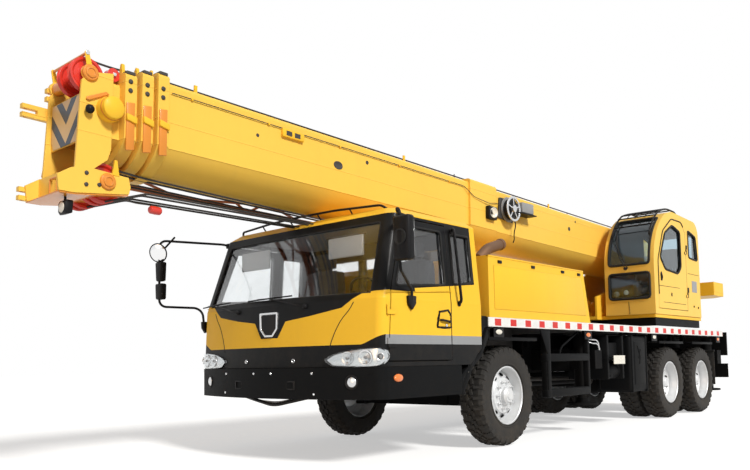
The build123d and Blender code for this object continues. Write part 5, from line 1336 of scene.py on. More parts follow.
hookS = (hookHigh.x + hookLow.x) / 2 - boomFoot.x
hookH = (hookHigh.z + hookLow.z) / 2 - boomFoot.z - hookS * math.sin(boomTilt)
falls = []
for number, y in enumerate(rope["falls"]):
    upper = number % 2 == 0
    falls.append([(hookS + 0.14, hookH + (0.08 if upper else -0.02), y * 0.55),
                  (7.2, -0.292 if upper else -0.345, y * 0.7), (9.7, -0.262 if upper else -0.392, y * 0.9),
                  (10.06, head["low"][1] + (0.137 if upper else -0.137), y)])
strandRopes("hoistFalls", falls)
leads = [[(-0.24, 0.515, y), (0.2, rope["topLine"] + 0.02, y), (9.68, rope["topLine"], y), (10.03, 0.515, y),
          (10.235, 0.523, y)] for y in (0.03, 0.2)]
strandRopes("hoistLead", leads)
for number, s in enumerate((0.25, 3.4, 6.6, 9.3)):
    finishPiece(addPlate(f"ropeCradle{number}", [(-0.03, 0.488), (0.26, 0.488), (0.26, 0.575), (0.245, 0.575),
            (0.245, 0.525), (-0.015, 0.525), (-0.015, 0.575), (-0.03, 0.575)], s, s + 0.03, onBoomEnd, 0.002),
                yellowPaint, "boom_base", 30)
print("ropes strung")

# boom side: blanked holes, bracket box, lamp, cable reel and its grey box
boomSide = 0.34
hole = [(0, -0.006), (1.0, -0.006), (1.0, 0.003), (0.86, 0.0042), (0.8, 0.0024), (0, 0.0024)]
for number, (x, z, wide, tall) in enumerate(((-0.74, 2.815, 0.034, 0.034), (-3.12, 2.752, 0.03, 0.03),
                                             (-3.32, 2.88, 0.016, 0.016), (1.62, 2.8, 0.062, 0.04),
                                             (1.2, 2.905, 0.02, 0.02), (2.62, 2.88, 0.016, 0.016))):
    plug = addTurned(f"boomHole{number}", hole, (0, 0, 0), across, 28)
    spread = Matrix.Rotation(-boomTilt, 4, "Y") @ Matrix.Diagonal((wide, 1, tall, 1))
    plug.data.transform(Matrix.Translation(at(x, boomSide, z)) @ spread)
    finishPiece(plug, castIronAndShade, "boom_base")
boomLamp = [(0, -0.01), (0.062, -0.01), (0.064, 0.01), (0.056, 0.012), (0.05, 0.004), (0.02, 0.001),
            (0.018, 0.01), (0, 0.012)]
reelSpot = onBoom(4.685, 0.268, boomSide + 0.03)
cable = [(0.08, 0.012), (0.125, 0.012), (0.131, 0.022), (0.127, 0.034), (0.132, 0.045), (0.127, 0.056), (0.13, 0.07),
         (0.122, 0.078), (0.08, 0.078)]
backPlate = [(0, -0.004), (0.158, -0.004), (0.162, 0.004), (0.158, 0.01), (0, 0.01)]
ring = [(0.128, 0.08), (0.16, 0.08), (0.163, 0.086), (0.158, 0.092), (0.132, 0.092)]
hub = [(0, 0.086), (0.048, 0.086), (0.046, 0.108), (0.03, 0.116), (0, 0.118)]
spoke = addBlock("spoke", reelSpot + Vector((-0.009, 0.082, 0.04)), reelSpot + Vector((0.009, 0.09, 0.132)), 0.002, 1)
spokes = [spoke] + copyTo(spoke, *[turnAbout(reelSpot, (0, 1, 0), math.tau * k / 5) for k in range(1, 5)])
reelTail = [onBoom(*spot) for spot in ((4.62, 0.16, 0.415), (4.575, 0.08, 0.418), (4.6, -0.02, 0.4),
                                       (4.545, -0.095, 0.372), (4.53, -0.13, 0.345))]
sensorLine = [onBoom(s, h, boomSide + out) for s, h, out in (
    (4.82, 0.3, 0.02), (5.0, 0.3, 0.048), (5.14, 0.27, 0.055), (5.46, 0.3, 0.045), (5.62, 0.405, 0.012),
    (9.6, 0.405, 0.012))]
# the two bracket slots are thin dark plates on the box face: painted shade standing in for open slots
dress(
    "boom_base",
    ("bracketBox", yellowPaint, 30, addPlate, oblong(8.2, 8.46, 0.405, 0.33), boomSide - 0.002, boomSide + 0.03,
     onBoom, 0.006, 2),
    *((f"bracketSlot{number}", castIronAndShade, 30, addPlate, oblong(s, s + 0.07, 0.39, 0.345), boomSide + 0.028,
       boomSide + 0.032, onBoom, 0.002) for number, s in enumerate((8.25, 8.35))),
    ("lampBoard", plasticBlack, 30, addPlate, oblong(5.02, 5.2, 0.235, 0.075), boomSide + 0.03, boomSide + 0.085,
     onBoom, 0.008, 2),
    ("boomLamp", lampWhite, 50, addTurned, boomLamp, onBoom(5.11, 0.155, boomSide + 0.088), (0.25, 1, 0)),
    ("reelDrum", plasticBlack, 40, addTurned, oblong(0.0, 0.085, 0.0, 0.088), reelSpot, across, 40),
    ("reelCable", rubberBlackAndShade, 40, addTurned, cable, reelSpot, across, 40),
    ("reelBack", greyPaint, 40, addTurned, backPlate, reelSpot, across, 40),
    ("reelRing", brightSteel, 40, addTurned, ring, reelSpot, across, 40),
    ("reelHub", brightSteel, 40, addTurned, hub, reelSpot, across, 40),
    ("reelSpokes", brightSteel, 30, joinPieces, spokes),
    ("greyBox", greyPaint, 30, addPlate, [(4.22, 0.395), (4.5, 0.385), (4.5, 0.255), (4.22, 0.262)],
     boomSide + 0.012, boomSide + 0.135, onBoom, 0.008, 2),
    ("boxSeat", plasticBlack, 30, addPlate, [(4.16, 0.258), (4.56, 0.248), (4.56, 0.232), (4.16, 0.242)],
     boomSide - 0.001, boomSide + 0.145, onBoom, 0.003),
    ("reelPlate", castIronAndShade, 30, addPlate, [(4.5, 0.42), (4.86, 0.4), (4.9, 0.14), (4.56, 0.12)], boomSide - 0.001,
     boomSide + 0.026, onBoom, 0.004),
    ("reelTail", rubberBlackAndShade, 60, addBar, reelTail, 0.007, 0.05, 2),
    ("sensorLine", ropeSteel, 60, addBar, sensorLine, 0.004, 0.04, 1),
    *((f"lineClip{number}", yellowPaint, 30, addPlate, oblong(s, s + 0.02, 0.415, 0.395), boomSide - 0.001,
       boomSide + 0.018, onBoom, 0.002) for number, s in enumerate((5.9, 6.8, 7.7, 8.6, 9.4))),
    *((f"topStalk{number}", castIronAndShade, 40, addBar, [onBoom(s, 0.486, y), onBoom(s, 0.56, y)], 0.006, 0.01, 2)
      for number, (s, y) in enumerate(((2.76, 0.2), (5.66, 0.24)))))
print("boom side dressed")


# mirrors: the left one is carried by its door, the right one by the shell
shieldPad = [(-0.055, 0.06), (0.055, 0.06), (0.05, -0.01), (0, -0.065), (-0.05, -0.01)]
leftMirror = {"low": (1.995, 1.4, 1.715), "high": (2.09, 1.578, 2.088)}
housing = addBlock("mirrorHousing", at(leftMirror["low"][0], *leftMirror["low"][1:]),
                   at(leftMirror["high"][0], *leftMirror["high"][1:]), 0.028, 4)
pickFaces(housing, lambda c, n: n.x > 0.9999)
bpy.ops.mesh.inset(thickness=0.022, depth=0.0)
bpy.ops.mesh.inset(thickness=0.02, depth=0.008)
endEdit()
finishPiece(housing, plasticBlack, "door_left")
finishPiece(addTurned("mirrorDish", [(0, -0.004), (0.066, -0.004), (0.066, 0.003), (0.058, 0.005), (0.052, 0),
        (0, -0.001)], at(2.0975, 1.489, 1.905), (1, 0, 0), 32), rubberBlackAndShade, "door_left")
finishPiece(addBlock("mirrorFace", at(1.99, 1.415, 1.745), at(1.997, 1.563, 2.06), 0.003, 1), brightSteel, "door_left")
arms = [
    [(2.04, 1.44, 1.73), (2.035, 1.44, 1.65), (1.75, 1.3, 1.545), (1.7, 1.285, 1.52), (1.68, 1.27, 1.42)],
    [(2.045, 1.47, 2.07), (2.045, 1.44, 2.15), (2.02, 1.4, 2.16), (1.745, 1.205, 2.135)],
    [(2.03, 1.52, 2.075), (2.015, 1.4, 2.125), (1.765, 1.208, 2.105)],
]
tubes = [addBar("arm", laid(points), 0.013, 0.05, 3) for points in arms]
pad = addPlate("pad", [(1.68 + a, 1.4 + b) for a, b in shieldPad], 1.2505, 1.282, onSide, 0.008, 2)
topPad = addBlock("topPad", at(1.725, 1.17, 2.085), at(1.8, 1.212, 2.16), 0.01, 2)
finishPiece(joinPieces("mirrorArms", tubes + [pad, topPad]), plasticBlack, "door_left", 50)

frameTube = [(1.742, -1.206, 2.172), (1.8, -1.235, 2.188), (2.44, -1.48, 2.192), (2.44, -1.48, 1.5),
             (2.075, -1.335, 1.492), (2.035, -1.29, 1.44), (2.03, -1.278, 1.33)]
mirrorTube = addBar("mirrorTube", laid(frameTube), 0.0125, 0.07, 3)
stub = addBar("stub", [at(2.4, -1.455, 2.105), at(2.3, -1.41, 2.235)], 0.01, 0.01, 2)
pad = addPlate("pad", [(2.02 + a * 0.8, 1.285 + b) for a, b in shieldPad], -1.288, -1.2505, onSide, 0.008, 2)
rootBlock = addBlock("root", at(1.7, -1.235, 2.145), at(1.775, -1.185, 2.2), 0.01, 2)
shells = []
for low, high, squeeze in ((1.765, 1.968, 0.72), (1.575, 1.742, 0.82)):
    shell = addBlock("shell", at(2.385, -1.545, low), at(2.455, -1.42, high), 0.018, 3)
    for corner in shell.data.vertices:
        share = (high - corner.co.z) / (high - low)
        corner.co.y = -1.4825 + (corner.co.y + 1.4825) * (1 - (1 - squeeze) * share)
    shells.append(shell)
rightMirror = joinPieces("rightMirror", [mirrorTube, stub, pad, rootBlock] + shells)
finishPiece(rightMirror, plasticBlack, angle=45)
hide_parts("cab_mirrors")
roundAim = Vector((0.86, 0.42, -0.3)).normalized()
roundSpot = at(2.452, -1.478, 2.062)
bowl = [(0, -0.045), (0.05, -0.04), (0.088, -0.02), (0.103, 0.004), (0.101, 0.012), (0.094, 0.01), (0, 0.008)]
finishPiece(addTurned("roundHousing", bowl, roundSpot, roundAim, 40), plasticBlack, angle=50)
bulge = [(0, 0.008), (0.095, 0.008), (0.072, 0.02), (0.04, 0.027), (0, 0.029)]
chrome = makeFinish("mirrorChrome", (0.82, 0.83, 0.84), roughness=0.12, metallic=1.0, fade=0.03, dirt=0.05, edge=0.05,
                    bump=0.01)
finishPiece(addTurned("roundMirror", bulge, roundSpot, roundAim, 40), chrome, angle=60)
print("mirrors built")

# inside the front cab: seats, dashboard, wheel and visor
cloth = makeFinish("seatCloth", (0.115, 0.118, 0.125), roughness=0.88, fade=0.12, fadeScale=5.0, dirt=0.12, edge=0.15,
                   edgeColor=(0.16, 0.16, 0.165), grain=900.0, bump=0.45, specular=0.2)
trim = makeFinish("cabTrim", (0.085, 0.088, 0.095), roughness=0.6, fade=0.08, dirt=0.12, edge=0.15,
                  edgeColor=(0.16, 0.16, 0.165), grain=500.0, bump=0.2, specular=0.3)
visorGrey = makeFinish("visorGrey", (0.42, 0.43, 0.44), roughness=0.6, fade=0.06, dirt=0.08, edge=0.1, grain=600.0,
                       bump=0.15)


# a stuffed pad: a block cut fine, crowned along the way it faces, drawn in along its seams, then rounded
def addCushion(name, low, high, facing, crown=0.022, seams=2, body="carrier"):
    low, high = Vector(low), Vector(high)
    middle, half = (low + high) / 2, (high - low) / 2
    out = Vector(facing)
    axis = max(range(3), key=lambda k: abs(out[k]))
    wide = 1 if axis != 1 else 0
    tall = 3 - axis - wide
    clearSelection()
    bpy.ops.mesh.primitive_cube_add(size=2, location=middle)
    pad = bpy.context.object
    pad.name = name
    pad.scale = half
    bpy.ops.object.transform_apply(location=True, rotation=True, scale=True)
    beginEdit(pad)
    bpy.ops.mesh.subdivide(number_cuts=11)
    endEdit()
    for corner in pad.data.vertices:
        u = (corner.co[wide] - middle[wide]) / half[wide]
        v = (corner.co[tall] - middle[tall]) / half[tall]
        w = (corner.co[axis] - middle[axis]) / half[axis] * (1 if out[axis] > 0 else -1)
        swell = (1 - u ** 4) * (1 - v ** 4)
        groove = sum(math.exp(-((u - (k + 1) * 2 / (seams + 1) + 1) / 0.07) ** 2) for k in range(seams))
        ease = 1 - 0.06 * (abs(u * v)) ** 3
        corner.co[wide] = middle[wide] + (corner.co[wide] - middle[wide]) * ease
        corner.co[tall] = middle[tall] + (corner.co[tall] - middle[tall]) * ease
        if w > -0.5:
            corner.co[axis] += out[axis] * (crown * swell - 0.011 * groove * (1 - v ** 8)) * (w + 0.5) / 1.5
    addModifier(pad, "SUBSURF", levels=1, render_levels=1)
    finishPiece(pad, cloth, body, 80)
    rim = []
    for a, b in ((-1, -1), (1, -1), (1, 1), (-1, 1)):
        spot = middle.copy()
        spot[wide] += a * half[wide] * 0.965
        spot[tall] += b * half[tall] * 0.965
        spot[axis] += out[axis] * (half[axis] * 0.72)
        rim.append(spot)
    finishPiece(addBar(name + "Piping", rim, 0.005, 0.04, 2, True), trim, body, 60)
    return pad


for side, label in bothSides:
    y = side * 0.615
    addCushion(f"seatBase{label}", at(0.86, y - 0.25, 1.21), at(1.33, y + 0.25, 1.345), (0, 0, 1), 0.028)
    addCushion(f"seatBack{label}", at(0.8, y - 0.25, 1.34), at(0.925, y + 0.25, 1.9), (1, 0, 0), 0.024)
    addCushion(f"headRest{label}", at(0.815, y - 0.135, 1.925), at(0.915, y + 0.135, 2.09), (1, 0, 0), 0.015, 0)
    posts = [addBar("post", [at(0.865, y + dy, 1.86), at(0.865, y + dy, 1.96)], 0.007, 0.01, 2) for dy in (-0.07, 0.07)]
    base = addPlate("base", [(0.88, 0.955), (1.26, 0.955), (1.22, 1.05), (1.28, 1.2), (0.88, 1.2), (0.93, 1.05)],
                    y - 0.2, y + 0.2, onSide, 0.012, 2)
    finishPiece(joinPieces(f"seatFrame{label}", posts + [base]), trim)
dashLine = [(1.685, 1.15), (1.665, 1.3), (1.69, 1.385), (1.735, 1.415), (1.88, 1.405), (1.95, 1.375), (1.945, 1.15)]
dash = addPlate("dashboard", dashLine, -1.1, 1.1, onSide, 0.016, 3)
kick = addPlate("kick", [(1.7, 0.955), (1.76, 0.955), (1.8, 1.16), (1.7, 1.16)], -1.1, 1.1, onSide, 0.008, 2)
tunnel = addPlate("tunnel", [(0.8, 0.955), (1.7, 0.955), (1.7, 1.14), (1.62, 1.165), (0.86, 1.15), (0.8, 1.12)], -0.33,
                  0.33, onSide, 0.02, 3)
binnacle = addPlate("binnacle", [(1.655, 1.375), (1.64, 1.455), (1.69, 1.5), (1.8, 1.455), (1.83, 1.395)], 0.4, 0.84,
                    onSide, 0.016, 3)
vents = [addPlate("vent", [(1.655, 1.305), (1.672, 1.305), (1.678, 1.355), (1.664, 1.355)], y - 0.07, y + 0.07, onSide,
                  0.003, 1) for y in (-0.85, -0.3, 0.1)]
dashboard = joinPieces("dashboard", [dash, kick, tunnel, binnacle] + vents)
finishPiece(dashboard, trim)
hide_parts("cab_interior")
wheelSpot, wheelAxis = at(1.5, 0.615, 1.505), Vector((-0.825, 0, 0.565))
ringProfile = [(0.212 + 0.014 * math.cos(math.tau * k / 10), 0.014 * math.sin(math.tau * k / 10)) for k in range(10)]
steer = [addTurned("ring", ringProfile, wheelSpot, wheelAxis, 40)]
steer.append(addTurned("hub", [(0, -0.03), (0.045, -0.03), (0.06, -0.01), (0.055, 0.012), (0, 0.02)], wheelSpot,
                       wheelAxis, 24))
for angle in (0.35, math.pi - 0.35, -math.pi / 2):
    tip = wheelSpot + (Vector((0, 1, 0)) * math.cos(angle) + wheelAxis.cross(Vector((0, 1,
            0))) * -math.sin(angle)) * 0.208
    steer.append(addBar("spoke", [wheelSpot, tip], 0.012, 0.01, 2))
steer.append(addBar("column", [wheelSpot - wheelAxis * 0.01, at(1.7, 0.615, 1.365)], 0.03, 0.02, 3))
finishPiece(joinPieces("steeringWheel", steer), plasticBlack, angle=50)
gear = addBar("gearLever", [at(1.42, 0.1, 1.15), at(1.44, 0.12, 1.32), at(1.41, 0.14, 1.42)], 0.009, 0.05, 2)
gearKnob = addTurned("gearKnob", [(0, -0.03), (0.018, -0.026), (0.026, 0), (0.018, 0.024), (0, 0.03)],
                     at(1.41, 0.14, 1.43), (0, 0, 1), 20)
finishPiece(joinPieces("gearStick", [gear, gearKnob]), plasticBlack, angle=50)
inner, outer = 0.42, 0.86
for side, label in bothSides:
    x = cabFront(0.6, 1.95) - 0.1
    finishPiece(addPlate(f"sunVisor{label}", oblong(side * inner, side * outer, 1.845, 2.035), x, x + 0.022, onFront,
                         0.01, 3), visorGrey)
    finishPiece(addBar(f"visorPivot{label}", [at(x + 0.01, side * (inner - 0.03), 2.042),
            at(x + 0.01, side * (outer + 0.03), 2.042)], 0.006, 0.01, 2), trim, angle=50)
finishPiece(addBlock("roofLining", at(0.68, -1.03, 2.185), at(1.6, 1.03, 2.205), 0.006, 1), visorGrey)
print("front cab furnished")


# operator's cab: seals, door lines, guard, wiper, lamp and seat
opCab = {"front": -3.88, "body": "superstructure"}
opWindow = {"door": [(-4.95, 2.26), (-4.95, 2.8), (-4.64, 2.87), (-4.33, 2.72), (-4.12, 2.35), (-4.3, 2.18),
                     (-4.82, 2.15)], "rear": [(-5.7, 2.42), (-5.64, 2.8), (-5.3, 2.87), (-5.3, 2.44)]}
arcA, arcB, arcC = Vector((-4.7, 3.08)), Vector((-4.11, 2.81)), Vector((-3.88, 2.24))
turn2 = 2 * (arcA.x * (arcB.y - arcC.y) + arcB.x * (arcC.y - arcA.y) + arcC.x * (arcA.y - arcB.y))
arcX = (arcA.length_squared * (arcB.y - arcC.y) + arcB.length_squared * (arcC.y - arcA.y)
        + arcC.length_squared * (arcA.y - arcB.y)) / turn2
arcZ = (arcA.length_squared * (arcC.x - arcB.x) + arcB.length_squared * (arcA.x - arcC.x)
        + arcC.length_squared * (arcB.x - arcA.x)) / turn2
arcR = (arcA - Vector((arcX, arcZ))).length


def opFront(z, out=0.0):
    if z <= arcC.y:
        return opCab["front"] + out
    return arcX + math.sqrt(max(0.0, (arcR + out) ** 2 - (z - arcZ) ** 2))


def addSeal(name, points, radius, body, closed=True, material=None):
    finishPiece(addBar(name, laid(points), radius, 0.05, 3, closed), material or rubberBlackAndShade, body, 60)


heights = [2.245 + 0.71 * k / 8 for k in range(9)]
seal = [(opFront(z, 0.002), 0.575, z) for z in heights] + [(opFront(z, 0.002), 1.18, z) for z in reversed(heights)]
addSeal("opGlassSeal", seal, 0.019, opCab["body"])
addSeal("opLowerSeal", [(-3.876, 0.575, 1.745), (-3.876, 0.575, 2.115), (-3.876, 1.18, 2.115), (-3.876, 1.18, 1.745)],
        0.018, opCab["body"])
addSeal("opBackSeal", [(-5.783, 0.6, 2.25), (-5.783, 0.6, 2.85), (-5.783, 1.155, 2.85), (-5.783, 1.155, 2.25)], 0.013,
        opCab["body"])
addSeal("opDoorSeal", [(x, 1.25, z) for x, z in opWindow["door"]], 0.016, "operator_door")
for y, label in ((1.25, "Left"), (0.505, "Right")):
    addSeal(f"opSideSeal{label}", [(x, y, z) for x, z in opWindow["rear"]], 0.014, opCab["body"])
doorEdge = [(-4.03, 1.8), (-4.032, 2.3), (-4.255, 2.745), (-4.62, 2.967), (-5.02, 2.967), (-5.1, 2.9)]
addSeal("opDoorGutter", [(x, 1.252, z) for x, z in doorEdge], 0.009, opCab["body"], False)
# the creases below are drawn as thin black beads: painted shade in the folds of the panels
for number, line in enumerate((((-4.06, 1.925), (-4.86, 1.93)), ((-4.2, 1.69), (-5.1, 1.69)))):
    addSeal(f"opCreaseShade{number}", [(x, 1.25, z) for x, z in line], 0.0035, "operator_door", False)
addSeal("opCreaseShade2", [(-5.24, 1.25, 2.185), (-5.74, 1.25, 2.185)], 0.0035, opCab["body"], False)
addSeal("opFrontCreaseShade", [(-3.879, 0.86, 1.705), (-3.879, 0.87, 1.525)], 0.0035, opCab["body"], False)

handle = addPlate("handle", [(-4.165, 2.0), (-4.115, 2.0), (-4.11, 2.1), (-4.135, 2.135), (-4.165, 2.1)], 1.249, 1.262,
                  onSide, 0.006, 2)
grip = addBar("grip", [at(-4.138, 1.258, 2.015), at(-4.138, 1.272, 2.05), at(-4.138, 1.258, 2.1)], 0.008, 0.02, 3)
lock = addPlate("lock", [(-4.54, 1.79), (-4.515, 1.785), (-4.5, 1.815), (-4.515, 1.845), (-4.54, 1.84)], 1.249, 1.257,
                onSide, 0.004, 2)
finishPiece(joinPieces("opDoorHandle", [handle, grip, lock]), plasticBlack, "operator_door")
for number, (x, z, wide, tall) in enumerate(((-5.245, 1.865, 0.045, 0.095), (-5.235, 2.545, 0.04, 0.08),
        (-5.46, 1.66, 0.022, 0.03), (-5.66, 1.65, 0.022, 0.03))):
    finishPiece(addBlock(f"opFitting{number}", at(x, 1.2485, z), at(x + wide, 1.262, z + tall), 0.005, 2), plasticBlack,
                opCab["body"], 30)
finishPiece(addBlock("opPlate", at(-5.62, 1.249, 1.9), at(-5.4, 1.2525, 2.08), 0.001, 1), greyPaint, opCab["body"], 30)

guard = []
for y in (0.6, 1.165):
    rail = [(opFront(2.66, 0.004), y, 2.66), (opFront(2.7, 0.045), y, 2.72), (opFront(2.9, 0.055), y, 2.9),
            (-4.34, y, 3.06), (-4.66, y, 3.142), (-5.02, y, 3.135), (-5.12, y, 3.062)]
    guard.append(addBar("rail", laid(rail), 0.013, 0.09, 4))
for x, z in ((opFront(2.84, 0.056), 2.84), (-4.215, 2.99), (-4.34, 3.06), (-4.43, 3.085), (-4.52, 3.11), (-4.61, 3.132),
             (-4.72, 3.143), (-4.86, 3.14)):
    guard.append(addBar("rung", [at(x, 0.6, z), at(x, 1.165, z)], 0.01, 0.02, 2))
for y in (0.74, 0.88, 1.02):
    guard.append(addBar("slat", [at(x, y, z) for x, z in ((-4.215, 2.99), (-4.34, 3.06), (-4.61, 3.132),
            (-4.86, 3.14))], 0.006, 0.05, 2))
finishPiece(joinPieces("opRoofGuard", guard), plasticBlack, opCab["body"], 50)

pivot = at(-3.862, 0.83, 2.19)
tip = at(opFront(2.62, 0.03), 0.625, 2.62)
wiper = [addTurned("pivot", [(0, -0.02), (0.024, -0.02), (0.022, 0.01), (0, 0.014)], pivot, (1, 0, 0), 20)]
for shift in (0, 0.04):
    wiper.append(addBar("arm", [pivot + Vector((0.004, shift, 0)), pivot.lerp(tip, 0.5) + Vector((0.03, shift, 0)),
                                tip + Vector((0, shift, 0))], 0.0065, 0.05, 2))
bladeEnds = [(z, 0.53 + (2.92 - z) * 0.26) for z in (2.4, 2.5, 2.6, 2.7, 2.8)]
wiper.append(addBar("blade", [at(opFront(z, 0.022), y + 0.08, z) for z, y in bladeEnds], 0.01, 0.03, 2))
finishPiece(joinPieces("opWiper", wiper), rubberBlackAndShade, opCab["body"], 50)
for number, (y, z, r, material) in enumerate(((0.8, 1.845, 0.036, lampWhite), (0.655, 1.83, 0.04, greyPaint))):
    finishPiece(addTurned(f"opLamp{number}", [(0, -0.05), (r * 0.7, -0.05), (r, -0.005), (r, 0.006), (r * 0.8, 0.012),
            (0, 0.014)], at(-3.945, y, z), (1, 0, 0), 28), material, opCab["body"])

opSeat = []
for low, high in (((-5.32, 0.66, 1.558), (-4.9, 1.095, 1.7)), ((-5.24, 0.74, 1.7), (-4.98, 1.015, 1.885)),
                  ((-5.3, 0.5625, 1.558), (-4.76, 0.6325, 2.05)), ((-5.3, 1.1225, 1.558), (-4.76, 1.1925, 2.05))):
    opSeat.append(addBlock("part", at(*low), at(*high), 0.02, 3))
for y in (0.5975, 1.1575):
    opSeat.append(addBar("lever", [at(-4.84, y, 2.045), at(-4.8, y, 2.17), at(-4.81, y, 2.2)], 0.01, 0.02, 2))
    opSeat.append(addTurned("knob", [(0, -0.03), (0.02, -0.025), (0.026, 0.01), (0.016, 0.035), (0, 0.038)],
                            at(-4.81, y, 2.215), (0, 0, 1), 16))
opSeat.append(addPlate("console", [(-4.1, 1.558), (-3.99, 1.558), (-3.99, 1.76), (-4.06, 1.8), (-4.12, 1.76)], 0.58,
                       1.16, onSide, 0.01, 2))
opFrame = joinPieces("opSeatFrame", opSeat)
finishPiece(opFrame, trim, opCab["body"])
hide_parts("operator_seat")
addCushion("opSeatBase", at(-5.34, 0.6525, 1.885), at(-4.86, 1.1025, 2.005), (0, 0, 1), 0.026, 2, opCab["body"])
addCushion("opSeatBack", at(-5.475, 0.6525, 2.0), at(-5.35, 1.1025, 2.615), (1, 0, 0), 0.024, 2, opCab["body"])
for number, y in enumerate((0.5975, 1.1575)):
    addCushion(f"opArmPad{number}", at(-5.28, y - 0.032, 2.055), at(-4.92, y + 0.032, 2.115), (0, 0, 1), 0.008, 0,
               opCab["body"])
print("operator's cab fitted")

# engine cover, exhaust and what stands on the deck
exhaustSteel = makeFinish("exhaustSteel", (0.16, 0.085, 0.045), roughness=0.55, metallic=0.5, fade=0.3, fadeScale=4.0,
                          dirt=0.4, dirtTop=2.6, dirtColor=(0.05, 0.03, 0.02), edge=0.35,
                          edgeColor=(0.32, 0.24, 0.18), grain=200.0, bump=0.2)
elbow = laid([(0.34, 1.08, 1.925), (0.19, 1.09, 2.04), (-0.06, 1.1, 2.115)])
mouth = elbow[2]
aim = (mouth - elbow[1]).normalized()
lip = [(0, -0.004), (0.047, -0.004), (0.047, 0.003), (0.05, 0.008), (0.06, 0.008), (0.062, -0.03),
       (0.0565, -0.034), (0, -0.034)]
# the last piece, a flat black disc across the mouth, is painted shade for the dark, sooty hollow of the open pipe
dress("carrier", ("exhaustPipe", exhaustSteel, 50, addBar, elbow, 0.0565, 0.025, 4),
      ("exhaustLip", exhaustSteel, 40, addTurned, lip, mouth, aim),
      ("exhaustDark", rubberBlackAndShade, 40, addTurned, [(0, 0.001), (0.046, 0.001), (0.046, -0.001), (0, -0.001)], mouth,
       aim, 28))
panel = [(0.33, 1.4), (0.33, 1.845), (-1.58, 1.845), (-1.7, 1.4)]
lid = [(0.43, 1.925), (0.43, 1.942), (-1.642, 1.942), (-1.648, 1.925)]
fender = [(0.455, 1.325), (0.63, 1.325), (0.655, 1.25), (0.655, 1.06), (0.93, 0.62), (0.86, 0.6), (0.64, 0.95),
          (0.58, 1.1), (0.5, 1.21), (0.455, 1.22)]
rivetSpots = ((0.6, 1.29), (0.62, 1.2), (0.625, 1.08), (0.72, 0.92), (0.8, 0.78))
markerScale = Matrix.Diagonal((0.078, 0.009, 0.034, 1))
for side, label in bothSides:
    out = across * side
    low, high = sorted((side * 1.249, side * 1.262))
    rivets = [addTurned("rivet", [(0, 0), (0.008, 0), (0.006, 0.004), (0, 0.005)], at(x, side * 1.236, z), out, 10)
              for x, z in rivetSpots]
    dress("carrier", (f"coverPanel{label}", yellowPaint, 30, addPlate, panel, side * 1.2495, side * 1.2535, onSide,
                      0.003, 2),
          (f"coverLid{label}", yellowPaint, 30, addPlate, lid, side * 1.225, side * 1.256, onSide, 0.004, 2),
          *((f"coverLatch{label}{number}", plasticBlack, 30, addBlock, at(x - 0.035, low, 1.872),
             at(x + 0.035, high, 1.902)) for number, x in enumerate((0.22, -0.45, -1.12, -1.52))),
          (f"fenderPanel{label}", blackPaint, 30, addPlate, fender, side * 1.205, side * 1.236, onSide, 0.006, 2),
          (f"fenderRivets{label}", castIronAndShade, 40, joinPieces, rivets))
    for number, x in enumerate((0.24, -1.76, -3.82, -6.59)):
        ringLine = [(0, -0.004), (1.0, -0.004), (1.0, 0.5), (0.86, 1.0), (0.8, 0.6), (0, 0.6)]
        ring = addTurned("ring", ringLine, (0, 0, 0), out, 28)
        lensLine = [(0, 0.5), (0.8, 0.5), (0.55, 1.4), (0, 1.7)]
        lens = addTurned(f"markerLens{label}{number}", lensLine, (0, 0, 0), out, 28)
        base = addBlock("base", (-1.2, -0.6 if side > 0 else -0.4, -1.6), (1.2, 0.4 if side > 0 else 0.6, 1.3), 0.1, 1)
        for part in (ring, lens, base):
            part.data.transform(Matrix.Translation(at(x, side * 1.232, 1.172)) @ markerScale)
        finishPiece(joinPieces(f"markerRing{label}{number}", [ring, base]), plasticBlack)
        finishPiece(lens, amber if number % 2 else lampWhite, angle=60)
    low, high = sorted((side * 1.249, side * 1.256))
    finishPiece(addBlock(f"blankPlate{label}", at(-2.75, low, 0.81), at(-2.41, high, 0.92), 0.002, 1), lampWhite,
                angle=30)
print("cover, fenders and markers done")


# guards, steps and boxes along both sides
def addSideBlock(name, x0, x1, side, inner, outer, z0, z1, edge=0.008, segments=2):
    low, high = sorted((side * inner, side * outer))
    return addBlock(name, at(x0, low, z0), at(x1, high, z1), edge, segments)


def addSideBlocks(*rows):
    return [addSideBlock(*row) for row in rows]


archLine = [(0.43, 1.122), (0.445, 1.215), (0.59, 0.97), (0.925, 0.74), (0.91, 0.57), (0.85, 0.57),
            (0.87, 0.72), (0.56, 0.93)]
postLine = [(-0.6, 1.215), (-0.745, 0.95), (-0.745, 0.465), (-0.815, 0.465), (-0.815, 1.215)]
guardParts = []
for side in (-1, 1):
    for axle in (0.0, -4.425, -5.775):
        guardParts += addSideBlocks(
            ("mudguard", axle - 0.52, axle + 0.43, side, 0.78, 1.235, 1.11, 1.122, 0.004),
            ("lip", axle - 0.52, axle + 0.43, side, 1.222, 1.235, 1.085, 1.122, 0.004),
            *(("hanger", x, x + 0.04, side, 0.8, 0.85, 1.121, 1.299, 0.003, 1) for x in (axle - 0.3, axle + 0.25)))
    guardParts.append(addPlate("arch", archLine, side * 0.8, side * 1.235, onSide, 0.005, 2))
    guardParts.append(addPlate("post", postLine, side * 1.222, side * 1.236, onSide, 0.004, 2))
    for z0, z1 in ((0.862, 0.945), (0.462, 0.55)):
        guardParts += addSideBlocks(("rail", -1.78, -0.73, side, 1.15, 1.235, z0, z1, 0.014, 3),
                                    ("tread", -1.74, -0.83, side, 1.165, 1.22, z1 - 0.003, z1 + 0.004, 0.002, 1))
    guardParts += addSideBlocks(*(("post", x, x + 0.055, side, 1.155, 1.225, 0.47, 1.297, 0.01) for x in (-1.8, -0.79)))
    braceLine = laid([(-1.72, side * 1.19, 1.27), (-1.3, side * 1.1, 1.02), (-1.26, side * 1.1, 0.9)])
    guardParts.append(addBar("brace", braceLine, 0.012, 0.05, 3))
sideGuards = joinPieces("sideGuards", guardParts)
finishPiece(sideGuards, blackPaint, angle=35)
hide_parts("side_guards")

